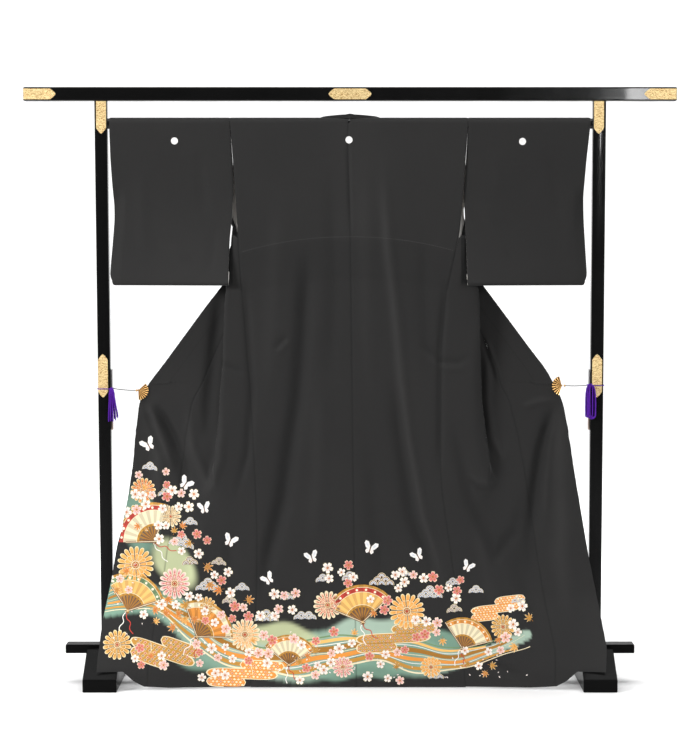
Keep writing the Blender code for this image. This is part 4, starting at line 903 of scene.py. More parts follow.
def buildSleeve(side):
    table = sleeves[side]
    count = 64
    shares = spacedShares(count, 0.6)
    levels = np.linspace(cloth["barZ"], 1.130, 58)

    def outsAt(z):
        return readChart(table, "inner", z) * (1 - shares) + readChart(table, "outer", z) * shares

    def hanging(z, front):
        outs = outsAt(z)
        if front > 0:
            outs = outs + (tuckedIn - openedEdge(openEdges, side, z)) * (1 - ease(0, 0.05, shares))
        x = side * outs
        y = front * sleeveDepth(z, shares) + sleeveLean(z, shares)
        for depth, width, top, low, (topX, lowX) in sleeveCreases[side]:
            t = np.clip((top - z) / (top - low), 0, 1)
            fade = ease(0, 0.3, t) * ease(0, 0.3, 1 - t)
            fade = fade * ease(low, low + 0.02, z) * (1 - ease(top - 0.02, top, z))
            y = y - depth * fade * np.exp(-((outs - topX - (lowX - topX) * t) / width) ** 2)
        return np.stack([x, y, np.full(count, z)], axis=-1)

    rows = [hanging(z, -1) for z in levels]
    depth = sleeveDepth(sleeveSize["bottom"] + 0.01, shares)
    for angle in np.radians((-20, -45, -70, -90, -110, -135, -160)):
        outs = outsAt(sleeveSize["bottom"] + 0.004)
        rows.append(np.stack([side * outs, sleeveLean(sleeveSize["bottom"], shares) - depth * math.cos(angle),
                              np.full(count, sleeveSize["bottom"] + 0.008 + 0.0075 * math.sin(angle))], axis=-1))
    rows += [hanging(z, 1) for z in levels[::-1]]
    rows += [overBar(side, outsAt(cloth["barZ"]), k) for k in range(barSteps - 1, 0, -1)]
    points = np.array(rows)
    low = points[..., 2] < sleeveSize["bottom"] + 0.03
    across = np.clip(1 - (1 - shares) * 0.33 / sleeveSize["corner"], 0, 1)
    lift = sleeveSize["corner"] * (1 - np.sqrt(1 - across ** 2)) * np.ones(points.shape[:2])
    points[..., 2] += lift * low * (1 - ease(0.0, 0.03, points[..., 2] - sleeveSize["bottom"]))
    normals = gridNormals(points, ring=True) * -side
    width = abs(points[:, -1, 0] - points[:, 0, 0])[:, None]
    inner, outer = width * shares, width * (1 - shares)
    points = points - normals * seamDip(seams["sleeveDip"], inner, outer)[..., None]
    # Painted shade along the sleeve's seam.
    tone = paintedSeamShade(inner.shape, (inner + 0.001,))
    dyeAndShading = np.array(dyes["black"]) * tone[..., None]
    # Painted light: the sleeve's lining is given 1.4 times the white lining's colour, so that it looks lit where
    # it lies in shade.
    white = np.zeros(points.shape) + np.array(dyes["liningWhite"]) * 1.4
    piece = clothShell("sleeve" + names[side].title(), points, normals, dyeAndShading, white, ring=True)
    return wear(piece, "black_silk", "sleeve_" + names[side])


bodies = {side: buildBody(side) for side in (-1, 1)}
okumis = {side: buildOkumi(side) for side in (-1, 1)}
collar = buildCollar()
sleevePieces = {side: buildSleeve(side) for side in (-1, 1)}
print("cloth pieces done")


# The dyed design near the hem: folding fans, wheel flowers, waves, maple leaves and a stream

inks = {"gold": (0.60, 0.30, 0.055), "deepGold": (0.42, 0.19, 0.030), "orange": (0.74, 0.28, 0.045),
        "paleOrange": (0.86, 0.48, 0.14), "cream": (0.84, 0.72, 0.48), "white": (0.88, 0.85, 0.80),
        "red": (0.52, 0.045, 0.028), "rose": (0.78, 0.30, 0.28), "blush": (0.90, 0.66, 0.62),
        "blueGrey": (0.28, 0.32, 0.42), "paleBlue": (0.55, 0.60, 0.68), "brown": (0.17, 0.085, 0.045),
        "taupe": (0.24, 0.19, 0.14), "leafGreen": (0.16, 0.26, 0.12), "sage": (0.26, 0.46, 0.36),
        "ink": (0.030, 0.028, 0.027)}
leafGold = {"gold": 0.55, "deepGold": 0.55}
patchSize = 0.0042
design = {"points": [], "faces": [], "inks": [], "leaf": [], "lift": []}


def inkAt(first, second, share):
    a, b = np.array(inks[first]), np.array(inks[second])
    return a * (1 - share) + b * share


# A grid of pattern points, rows by columns, joined and inked.
def layGrid(grid, colours, layer, gold=0.0):
    grid = np.asarray(grid, float)
    rows, columns = grid.shape[:2]
    start = len(design["points"])
    design["points"] += grid.reshape(-1, 2).tolist()
    design["inks"] += np.broadcast_to(colours, (rows, columns, 3)).reshape(-1, 3).tolist()
    design["leaf"] += [gold] * (rows * columns)
    design["lift"] += [layer] * (rows * columns)
    for r in range(rows - 1):
        for c in range(columns - 1):
            a = start + r * columns + c
            design["faces"].append((a, a + 1, a + columns + 1, a + columns))


# A patch seen round its middle, such as a petal or a leaf.
def layRound(middle, rim, inner, outer, layer, power=1.0):
    middle, rim = np.array(middle), np.array(rim)
    rim = np.vstack([rim, rim[:1]])
    reach = np.hypot(*(rim - middle).T).max()
    rings = max(1, math.ceil(reach / patchSize))
    shares = np.linspace(0.02, 1, rings + 1)
    grid = middle + (rim - middle)[None] * shares[:, None, None]
    colours = np.array([np.broadcast_to(inkAt(inner, outer, share ** power), (len(rim), 3)) for share in shares])
    layGrid(grid, colours, layer, leafGold.get(outer, 0.0))


# A line with a width at each point.
def layLine(points, widths, first, layer, second=None):
    points = np.array(points, float)
    along = np.gradient(points, axis=0)
    along /= np.maximum(np.hypot(*along.T), 1e-9)[:, None]
    across = np.column_stack((-along[:, 1], along[:, 0]))
    half = np.broadcast_to(widths, (len(points),))[:, None] / 2
    steps = max(1, math.ceil(float(half.max()) * 2 / patchSize))
    shares = np.linspace(-1, 1, steps + 1)
    grid = np.stack([points + across * half * share for share in shares], axis=1)
    colours = np.array([inkAt(first, second or first, t) for t in np.linspace(0, 1, len(points))])[:, None]
    layGrid(grid, colours, layer, leafGold.get(first, 0.0))


def turned(points, angle, middle, size=1.0):
    points = np.asarray(points, float) * size
    c, s = math.cos(angle), math.sin(angle)
    return points @ np.array([[c, s], [-s, c]]) + np.array(middle)


def polar(reach, angle):
    return reach * math.cos(angle), reach * math.sin(angle)


def arc(radius, start, end, steps, middle=(0, 0)):
    angles = np.linspace(start, end, steps)
    return np.column_stack((middle[0] + radius * np.cos(angles), middle[1] + radius * np.sin(angles)))


petalShape = np.array([(0.10, 0.00), (0.30, 0.20), (0.58, 0.34), (0.84, 0.31), (0.98, 0.16), (0.90, 0.00),
                       (0.98, -0.16), (0.84, -0.31), (0.58, -0.34), (0.30, -0.20)])


def blossom(x, z, size, turn, inner, outer, layer):
    for k in range(5):
        angle = turn + k * 2 * math.pi / 5
        layRound(turned([(0.58, 0)], angle, (x, z), size * 1.10)[0],
                 turned(petalShape, angle, (x, z), size * 1.10), "cream", "cream", layer)
        layRound(turned([(0.50, 0)], angle, (x, z), size)[0], turned(petalShape, angle, (x, z), size),
                 inner, outer, layer + 1, 0.8)
        for sway in (-0.22, 0.16):
            thread = turned([(0.08, 0), (0.52, 0)], angle + sway, (x, z), size)
            layLine(thread, size * 0.055, "gold", layer + 2)
    layRound((x, z), arc(size * 0.17, 0, 5.8, 8, (x, z)), "gold", "red", layer + 3)


mapleLobes = ((-2.15, 0.50), (-1.45, 0.78), (-0.72, 0.95), (0.0, 1.06), (0.72, 0.95), (1.45, 0.78), (2.15, 0.50))


def mapleLeaf(x, z, size, turn, inner, outer, layer):
    outline = []
    for k, (angle, reach) in enumerate(mapleLobes):
        outline += [(0.50 * reach, angle - 0.25), (0.78 * reach, angle - 0.13), (reach, angle),
                    (0.78 * reach, angle + 0.13), (0.50 * reach, angle + 0.25)]
        if k < 6:
            outline.append((0.30, angle + 0.36))
    rim = turned([polar(r, a) for r, a in outline], turn, (x, z), size)
    layRound((x, z), (rim - (x, z)) * 1.10 + (x, z), "cream", "cream", layer)
    layRound((x, z), rim, inner, outer, layer + 1)
    for angle, reach in mapleLobes:
        layLine(turned([(0, 0), polar(reach * 0.8, angle)], turn, (x, z), size),
                (size * 0.05, size * 0.02), "gold", layer + 2)
    stem = [(0, 0), (-0.35, 0.03), (-0.75, 0.12)]
    layLine(turned(stem, turn, (x, z), size), size * 0.06, "deepGold", layer + 1)


def wheelFlower(x, z, size, petals, inner, outer, layer, turn=0.0):
    for reach, count, first, second in ((1.0, petals, inner, outer), (0.62, petals - 4, outer, inner)):
        for k in range(count):
            angle = turn + k * 2 * math.pi / count
            wide = math.pi / count * 0.93
            shape = [(0.18, 0), (0.60, -wide * 0.52), (0.86, -wide * 0.72), (0.97, -wide * 0.42), (1.0, 0),
                     (0.97, wide * 0.42), (0.86, wide * 0.72), (0.60, wide * 0.52)]
            edge = turned(shape, angle, (x, z), size * reach)
            core = turned([(0.66, 0)], angle, (x, z), size * reach)[0]
            layRound(core, edge, "cream", "cream", layer)
            layRound(core, (edge - core) * 0.86 + core, first, second, layer + 1)
        layer += 2
    layRound((x, z), arc(size * 0.23, 0, 5.9, 14, (x, z)), "cream", "cream", layer)
    layRound((x, z), arc(size * 0.19, 0, 5.9, 14, (x, z)), "red", "deepGold", layer + 1)
    for k in range(8):
        spot = turned([(0.11, 0)], k * math.pi / 4, (x, z), size)[0]
        layRound(spot, arc(size * 0.028, 0, 5, 5, spot), "cream", "cream", layer + 2)


def foldingFan(x, z, size, turn, spread, ground, band, layer):
    pleats = 15
    start, step = -spread / 2, spread / pleats
    bands = ((0.40, 0.47, "gold"), (0.47, 0.80, ground), (0.80, 0.93, band), (0.93, 1.0, "gold"))
    for k in range(pleats):
        a, b = start + k * step, start + (k + 1) * step
        shade = 0.0 if k % 2 else 0.28
        for low, high, first in bands:
            reach = np.linspace(low, high, max(2, math.ceil(size * (high - low) / patchSize) + 1))
            across = np.linspace(a, b, 3)
            grid = np.array([turned([polar(r, t) for t in across], turn, (x, z), size) for r in reach])
            colour = np.array(inks[first]) * (1 - shade)
            layGrid(grid, colour, layer, leafGold.get(first, 0.0))
        rib = (a + b) / 2
        layLine(turned([polar(r, rib) for r in (-0.07, 0.22, 0.42)], turn, (x, z), size),
                (size * 0.020, size * 0.032, size * 0.045), "brown" if k % 2 else "deepGold", layer - 1)
    for edge in (start, start + spread):
        guard = [polar(r, edge) for r in (-0.08, 0.25, 0.5, 0.75, 1.0)]
        layLine(turned(guard, turn, (x, z), size), size * 0.055, "brown", layer + 1)
        layLine(turned(guard, turn, (x, z), size), size * 0.016, "cream", layer + 2)
    for reach in (0.805, 0.93, 0.465):
        layLine(turned(arc(reach, start, start + spread, 26), turn, (x, z), size),
                size * 0.014, "cream", layer + 2)
    for k in range(7):  # small scales along the band
        middle = start + spread * (k + 0.5) / 7
        spot = turned([polar(0.865, middle)], turn, (x, z), size)[0]
        layRound(spot, arc(size * 0.036, 0, 5.2, 6, spot), "white", "cream", layer + 2)
    layRound((x, z), arc(size * 0.035, 0, 5.2, 6, (x, z)), "cream", "gold", layer + 3)
    cord = [(0, 0), (-0.20, 0.06), (-0.30, -0.10), (-0.46, -0.02), (-0.60, -0.14)]
    for sway, colour in ((0.35, "red"), (-0.25, "white")):
        layLine(curveThrough(turned(cord, turn + sway, (x, z), size)), 0.0022, colour, layer - 1)


def waveScales(x, z, size, turn, rows, first, second, layer):
    bands = ((1.0, 0.90, "cream"), (0.90, 0.70, first), (0.70, 0.60, "white"), (0.60, 0.38, second),
             (0.38, 0.28, "white"), (0.28, 0.02, first))
    for row in range(len(rows)):
        for k in range(rows[row]):
            out = (k - (rows[row] - 1) / 2) * 1.9
            spot = turned([(out, (len(rows) - 1 - row) * 0.82)], turn, (x, z), size)[0]
            for outer, inner, ink in bands:
                rims = [turned(arc(share, -0.25, math.pi + 0.25, 14), turn, spot, size)
                        for share in (inner, outer)]
                layGrid(rims, inks[ink], layer + row)


def butterfly(x, z, size, turn, layer):
    wing = np.array([(0.05, 0.0), (0.10, 0.50), (0.42, 0.98), (0.80, 1.00), (0.86, 0.66), (0.55, 0.20)])
    tail = np.array([(0.02, 0.0), (0.40, 0.12), (0.52, -0.20), (0.30, -0.46), (0.10, -0.30)])
    for flip in (1, -1):
        for shape, dark in ((wing, "paleBlue"), (tail, "blush")):
            rim = turned(shape * (flip, 1), turn, (x, z), size)
            layRound(rim.mean(axis=0), rim, dark, "white", layer, 0.7)
    layLine(turned([(0, -0.36), (0, 0.0), (0, 0.34)], turn, (x, z), size),
            (size * 0.05, size * 0.14, size * 0.06), "brown", layer + 1)
    for flip in (1, -1):
        layLine(turned([(0, 0.30), (0.10 * flip, 0.55), (0.24 * flip, 0.72)], turn, (x, z), size), size * 0.035,
                "taupe", layer + 1)


def cloudBank(x, z, length, width, lean, first, second, layer):
    # Stacked long clouds with round ends, each filled with a diamond diaper.
    for shiftX, shiftZ, share in ((0.0, 0.0, 1.0), (0.28, 0.82, 0.62), (-0.22, -0.80, 0.55)):
        half, high = length * share / 2, width * 0.5
        mid = np.array([x + shiftX * length, z + shiftZ * width + lean * shiftX * length])
        xs = np.linspace(-half, half, max(8, int(half * 2 / patchSize)))
        tall = high * np.sqrt(np.clip(1 - (np.abs(xs) / half) ** 5, 0.0004, 1))
        for grow, ink, up in ((1.0, "cream", 0), (0.86, first, 1)):
            across = np.linspace(-1, 1, 7)
            grid = np.stack([np.column_stack((xs * (1 - (1 - grow) * 0.3), tall * grow * a + xs * lean))
                             for a in across], axis=1) + mid
            layGrid(grid, inks[ink], layer + up, leafGold.get(ink, 0.0))
        pitch = width * 0.36
        for row in (-1, 0, 1):
            for k in range(int(half * 2 / pitch)):
                px = -half + (k + 0.75 + 0.5 * (row % 2)) * pitch
                if abs(px) > half * 0.86:
                    continue
                spot = mid + (px, row * width * 0.25 + px * lean)
                shape = np.array([(0.40, 0), (0, 0.30), (-0.40, 0), (0, -0.30)]) * pitch
                layRound(spot, spot + shape, second if (k + row) % 3 else "red", "cream", layer + 2, 2.5)


def layStream():
    path = curveThrough(stream["path"])
    runs = np.concatenate(([0], np.cumsum(np.hypot(*np.diff(path, axis=0).T))))
    along = np.gradient(path, axis=0)
    along /= np.hypot(*along.T)[:, None]
    across = np.column_stack((-along[:, 1], along[:, 0]))
    share = runs / runs[-1]
    swell = 0.55 + 0.45 * np.sin(share * math.pi) + 0.18 * np.sin(runs * 21)
    for k, (offset, width, ink) in enumerate(stream["lines"]):
        wave = 0.0035 * np.sin(runs * 38 + k * 0.5)
        line = path + across * ((offset * swell + wave)[:, None])
        keep = share < 1 - 0.03 * (k % 4)
        layLine(line[keep], width * (0.3 + 0.7 * np.sin(np.clip(share[keep], 0.03, 0.97) * math.pi)), ink, 0)


fans = (  # x, z, size, turn, spread, ground, band
    (-0.545, 0.405, 0.108, 2.20, 1.95, "cream", "red"),
    (-0.618, 0.215, 0.104, 1.25, 1.90, "paleOrange", "leafGreen"),
    (-0.425, 0.145, 0.100, 0.95, 1.95, "orange", "cream"),
    (0.035, 0.185, 0.104, 1.75, 2.00, "paleOrange", "red"),
    (0.312, 0.112, 0.086, 1.20, 1.90, "cream", "orange"), (-0.170, 0.066, 0.084, 1.50, 1.95, "cream", "orange"))
wheels = (  # x, z, size, petals, inner, outer, turn
    (-0.598, 0.340, 0.052, 18, "orange", "paleOrange", 0.1), (-0.488, 0.290, 0.044, 16, "red", "blush", 0.0),
    (-0.645, 0.125, 0.040, 16, "deepGold", "paleOrange", 0.2),
    (-0.292, 0.150, 0.044, 18, "orange", "cream", 0.0),
    (0.158, 0.215, 0.050, 18, "orange", "paleOrange", 0.1), (-0.062, 0.232, 0.040, 16, "red", "cream", 0.1),
    (0.425, 0.172, 0.034, 16, "deepGold", "paleOrange", 0.0),
    (-0.578, 0.545, 0.036, 16, "red", "paleOrange", 0.1),
    (-0.500, 0.475, 0.030, 14, "deepGold", "cream", 0.0),
    (-0.400, 0.225, 0.030, 14, "deepGold", "paleOrange", 0.2),
    (-0.020, 0.060, 0.030, 14, "red", "blush", 0.1), (0.225, 0.060, 0.030, 14, "orange", "paleOrange", 0.0))
clouds = (  # x, z, length, width, lean
    (-0.520, 0.105, 0.180, 0.036, -0.35, "gold", "brown"),
    (-0.300, 0.042, 0.200, 0.030, -0.05, "orange", "cream"),
    (0.120, 0.140, 0.210, 0.030, 0.04, "gold", "brown"), (0.405, 0.222, 0.140, 0.024, 0.10, "orange", "cream"),
    (-0.610, 0.470, 0.100, 0.030, -0.60, "gold", "brown"))
waves = (  # x, z, size, turn, rows, first, second
    (-0.470, 0.395, 0.0125, -0.2, (1, 2, 3), "blueGrey", "taupe"),
    (-0.445, 0.345, 0.0115, 0.1, (1, 2), "brown", "taupe"),
    (-0.395, 0.275, 0.0120, 0.0, (1, 2, 3), "blueGrey", "taupe"),
    (-0.335, 0.240, 0.0105, 0.1, (1, 2), "taupe", "brown"),
    (-0.560, 0.605, 0.0110, -0.1, (1, 2), "blueGrey", "taupe"),
    (-0.232, 0.190, 0.0115, 0.0, (1, 2, 3), "taupe", "blueGrey"),
    (-0.125, 0.195, 0.0110, 0.0, (2, 3), "blueGrey", "taupe"),
    (0.000, 0.305, 0.0115, 0.1, (1, 2), "blueGrey", "brown"),
    (0.088, 0.290, 0.0120, 0.0, (1, 2, 3), "brown", "blueGrey"),
    (0.222, 0.255, 0.0120, 0.0, (1, 2, 3), "blueGrey", "taupe"),
    (0.290, 0.215, 0.0110, 0.1, (1, 2), "taupe", "brown"),
    (0.350, 0.268, 0.0105, 0.0, (1, 2), "blueGrey", "taupe"),
    (0.240, 0.030, 0.0105, 0.0, (1, 2), "taupe", "blueGrey"),
    (0.468, 0.240, 0.0100, 0.1, (1, 2), "blueGrey", "brown"),
    (-0.515, 0.535, 0.0110, 0.1, (1, 2), "taupe", "blueGrey"),
    (-0.445, 0.455, 0.0105, 0.0, (1, 2), "blueGrey", "taupe"),
    (-0.365, 0.345, 0.0105, -0.1, (1, 2), "taupe", "brown"),
    (-0.300, 0.275, 0.0105, 0.0, (1, 2), "blueGrey", "taupe"),
    (-0.175, 0.250, 0.0100, 0.0, (1, 2), "taupe", "blueGrey"),
    (-0.075, 0.300, 0.0105, 0.1, (1, 2), "blueGrey", "taupe"),
    (0.150, 0.315, 0.0100, 0.0, (1, 2), "taupe", "blueGrey"),
    (0.285, 0.290, 0.0100, 0.0, (1, 2), "blueGrey", "brown"))
butterflies = (  # x, z, size, turn
    (-0.562, 0.668, 0.024, 0.5), (-0.462, 0.560, 0.023, -0.6), (-0.405, 0.495, 0.021, 0.2),
    (-0.335, 0.405, 0.023, -0.4),
    (-0.225, 0.300, 0.021, 0.6), (-0.105, 0.360, 0.022, 0.3), (0.055, 0.385, 0.023, -0.3),
    (0.190, 0.365, 0.021, 0.5),
    (0.325, 0.335, 0.020, -0.5))
posyShape = {"apart": 0.021, "lowest": 0.022, "small": 0.0105, "large": 0.0150, "leaf": 1.25, "tries": 12}
loosePetals = {"count": 90, "small": 0.0022, "large": 0.0036}
posies = (  # x, z, spread, number of flowers and leaves, share of leaves
    (-0.620, 0.480, 0.050, 7, 0.3), (-0.560, 0.570, 0.050, 8, 0.1), (-0.500, 0.440, 0.050, 6, 0.4),
    (-0.530, 0.210, 0.060, 9, 0.5), (-0.650, 0.290, 0.040, 6, 0.3), (-0.450, 0.220, 0.050, 6, 0.5),
    (-0.360, 0.190, 0.050, 6, 0.3), (-0.370, 0.080, 0.060, 10, 0.2), (-0.240, 0.110, 0.050, 8, 0.2),
    (-0.120, 0.110, 0.045, 5, 0.4), (-0.100, 0.045, 0.050, 7, 0.2), (-0.010, 0.130, 0.045, 5, 0.4),
    (0.100, 0.070, 0.060, 9, 0.3), (0.090, 0.240, 0.040, 4, 0.3), (0.210, 0.170, 0.050, 7, 0.4),
    (0.270, 0.280, 0.045, 6, 0.1), (0.360, 0.080, 0.050, 6, 0.4), (0.440, 0.130, 0.040, 5, 0.2),
    (-0.030, 0.320, 0.045, 6, 0.0), (-0.200, 0.240, 0.050, 6, 0.1), (0.480, 0.200, 0.035, 4, 0.2),
    (-0.480, 0.520, 0.045, 6, 0.0), (-0.440, 0.400, 0.045, 6, 0.1), (-0.370, 0.310, 0.045, 6, 0.1),
    (-0.290, 0.230, 0.045, 5, 0.1), (0.160, 0.290, 0.045, 6, 0.0), (-0.560, 0.080, 0.050, 6, 0.2))


def layDesign():
    dice = random.Random(11)
    layStream()
    for x, z, length, width, lean, first, second in clouds:
        cloudBank(x, z, length, width, lean, first, second, 1)
    for x, z, size, turn, rows, first, second in waves:
        waveScales(x, z, size, turn, rows, first, second, 2)
    for x, z, size, petals, inner, outer, turn in wheels:
        wheelFlower(x, z, size, petals, inner, outer, 4, turn)
    for x, z, size, turn, spread, ground, band in fans:
        foldingFan(x, z, size, turn, spread, ground, band, 5)
    for x, z, size, turn in butterflies:
        butterfly(x, z, size, turn, 3)
    leaves = (("red", "orange"), ("orange", "paleOrange"), ("deepGold", "gold"), ("brown", "orange"))
    flowers = (("rose", "blush"), ("blush", "white"), ("red", "rose"), ("blush", "white"))
    spots = []
    for x, z, spread, count, leafy in posies:
        for _ in range(count):
            for _ in range(posyShape["tries"]):
                px, pz = x + dice.uniform(-1, 1) * spread, z + dice.uniform(-1, 1) * spread * 0.8
                clear = all(math.hypot(px - a, pz - b) > posyShape["apart"] for a, b in spots)
                if clear and pz > posyShape["lowest"]:
                    spots.append((px, pz))
                    size = dice.uniform(posyShape["small"], posyShape["large"])
                    if dice.random() < leafy:
                        inner, outer = dice.choice(leaves)
                        mapleLeaf(px, pz, size * posyShape["leaf"], dice.uniform(0, 6.2), inner, outer, 11)
                    else:
                        inner, outer = dice.choice(flowers)
                        blossom(px, pz, size, dice.uniform(0, 6.2), inner, outer, 11)
                    break
    for _ in range(loosePetals["count"]):  # loose petals
        x = dice.uniform(-0.66, 0.50)
        z = 0.03 + abs(dice.gauss(0, 0.05)) + 0.30 * max(0.0, (-x - 0.30) / 0.35) * dice.random()
        shape = turned([(-1, 0), (-0.3, 0.5), (0.6, 0.45), (1, 0), (0.5, -0.4), (-0.4, -0.4)],
                       dice.uniform(0, 6.2),
                       (x, z), dice.uniform(loosePetals["small"], loosePetals["large"]))
        layRound((x, z), shape, "blush", "white", 9)


def wornTree(pieces):
    verts, faces = [], []
    for piece in pieces:
        start = len(verts)
        verts += [v.co.copy() for v in piece.data.vertices]
        faces += [tuple(start + i for i in p.vertices) for p in piece.data.polygons]
    return BVHTree.FromPolygons(verts, faces)


# How far things lie off the cloth, and the deepest step that a patch may cross.
lifts = {"design": 0.00028, "layer": 0.00007, "stitch": 0.0004, "roundel": 0.00035, "step": 0.010}


def dropOn(tree, x, z, lift):
    hit, normal, _, _ = tree.ray_cast(Vector((x, -1.0, z)), Vector((0, 1, 0)))
    if hit is None:
        return None
    return hit + (-normal if normal.y > 0 else normal) * lift


def printDesign(tree):
    places = [dropOn(tree, x, z, lifts["design"] + lift * lifts["layer"])
              for (x, z), lift in zip(design["points"], design["lift"])]
    faces = []
    for face in design["faces"]:
        corners = [places[i] for i in face]
        if None in corners:
            continue
        deep = [c.y for c in corners]
        if max(deep) - min(deep) < lifts["step"]:
            faces.append(face)
    used = sorted({i for face in faces for i in face})
    index = {old: new for new, old in enumerate(used)}
    piece = addMesh("hemDesign", [places[i] for i in used], [tuple(index[i] for i in face) for face in faces],
                    [paintedSilk])
    colours = np.ones((len(used), 4), np.float32)
    colours[:, :3] = np.array(design["inks"])[used]
    paint(piece, colours)
    leaf = piece.data.attributes.new("leaf", "FLOAT", "POINT")
    leaf.data.foreach_set("value", np.array(design["leaf"], np.float32)[used])
    print("design", len(faces), "patches")
    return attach(piece, "root")


layDesign()
hemDesign = printDesign(wornTree([*bodies.values(), *okumis.values()]))
print("hem design done")


# Stitches and roundels

def layOnCloth(name, places, faces, ink):
    piece = addMesh(name, places, faces, [paintedSilk])
    paint(piece, np.tile((*ink, 1), (len(places), 1)))
    piece.data.attributes.new("leaf", "FLOAT", "POINT")
    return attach(piece, "root")


thread = {"length": 0.0036, "pitch": 0.0058, "width": 0.0010, "dyeAndShading": (0.060, 0.059, 0.058)}


def buildStitches(tree):
    places, faces = [], []
    for x in np.arange(-0.296, 0.288, thread["pitch"]):
        slope = (tuckLine(x + 0.001) - tuckLine(x)) / 0.001
        half, wide = thread["length"] / 2, thread["width"] / 2
        start = len(places)
        outline = ((-half, 0), (-half * 0.6, -wide), (half * 0.6, -wide), (half, 0), (half * 0.6, wide),
                   (-half * 0.6, wide))
        places += [dropOn(tree, x + a, tuckLine(x) + a * slope + b, lifts["stitch"]) for a, b in outline]
        faces.append(tuple(range(start, start + 6)))
    return layOnCloth("tuckStitches", places, faces, thread["dyeAndShading"])


roundels = {"Left": (-0.4867, 1.5182), "Back": (-0.0028, 1.5210), "Right": (0.4784, 1.5168)}
roundelSize = {"reach": 0.0098, "ink": (0.83, 0.82, 0.80)}


def buildRoundel(name, tree):
    x, z = roundels[name]
    count, shares = 33, (0.02, 0.35, 0.7, 0.93, 1.0)
    rings = [arc(roundelSize["reach"] * share, 0, 2 * math.pi, count, (x, z)) for share in shares]
    places = [dropOn(tree, a, b, lifts["roundel"]) for a, b in np.concatenate(rings)]
    faces = [(r * count + c, r * count + c + 1, (r + 1) * count + c + 1, (r + 1) * count + c)
             for r in range(len(shares) - 1) for c in range(count - 1)]
    return layOnCloth("roundel" + name, places, faces, roundelSize["ink"])


backTree = wornTree([*bodies.values()])
tuckStitches = buildStitches(backTree)
roundelPieces = {"Back": buildRoundel("Back", backTree),
                 "Left": buildRoundel("Left", wornTree([sleevePieces[-1]])),
                 "Right": buildRoundel("Right", wornTree([sleevePieces[1]]))}
print("stitches and roundels done")


# Clips, cords and tassels

# Faces between rings of points, with an end face on each end of an open tube.
def tubeFaces(rings, around, closed=False):
    faces = []
    for r in range(rings if closed else rings - 1):
        a, b = r * around, (r + 1) % rings * around
        faces += [(a + c, a + (c + 1) % around, b + (c + 1) % around, b + c) for c in range(around)]
    if not closed:
        faces += [tuple(range(around))[::-1], tuple(range((rings - 1) * around, rings * around))]
    return faces


# A cord round a path: three plies laid round each other, thick as its radius at each point.
def rope(path, radius, lay, closed=False):
    plies, around = 3, 12
    path = np.array(path, float)
    if closed:
        along = np.roll(path, -1, axis=0) - np.roll(path, 1, axis=0)
    else:
        along = np.gradient(path, axis=0)
    along /= np.linalg.norm(along, axis=1)[:, None]
    runs = np.concatenate(([0], np.cumsum(np.linalg.norm(np.diff(path, axis=0), axis=1))))
    if closed:
        whole = runs[-1] + np.linalg.norm(path[0] - path[-1])
        lay = round(lay * whole / (2 * math.pi) * plies) * 2 * math.pi / (whole * plies)
    radius = np.broadcast_to(radius, (len(path),))
    across = np.cross((0.0, 1.0, 0.0) if abs(along[0][1]) < 0.8 else (0.0, 0.0, 1.0), along[0])
    angles = np.linspace(0, 2 * math.pi, around, endpoint=False)
    places = []
    for point, way, run, size in zip(path, along, runs, radius):
        across = across - way * (across @ way)
        across = across / np.linalg.norm(across)
        up = np.cross(way, across)
        swell = size * (0.86 + 0.14 * np.cos(plies * (angles - lay * run)))
        places += [point + (across * math.cos(a) + up * math.sin(a)) * r for a, r in zip(angles, swell)]
    return places, tubeFaces(len(path), around, closed)


def gather(parts):
    places, faces = [], []
    for some, joined in parts:
        faces += [tuple(len(places) + i for i in face) for face in joined]
        places += list(some)
    return places, faces


fanClips = {  # apex, knob, reach, spread and aim of the pleats in degrees
    -1: {"apex": (-0.5925, 0.8247), "knob": (-0.5973, 0.8236), "reach": 0.0285, "spread": 130, "aim": -23},
    1: {"apex": (0.5925, 0.8374), "knob": (0.6009, 0.8371), "reach": 0.0276, "spread": 150, "aim": 180}}
clipShape = {"ribs": 9, "rise": 0.0015, "front": -0.0042, "back": 0.0016, "thick": 0.0005, "knob": 0.0031,
             "bright": (1.0, 0.60, 0.22), "dark": (0.030, 0.010, 0.002)}


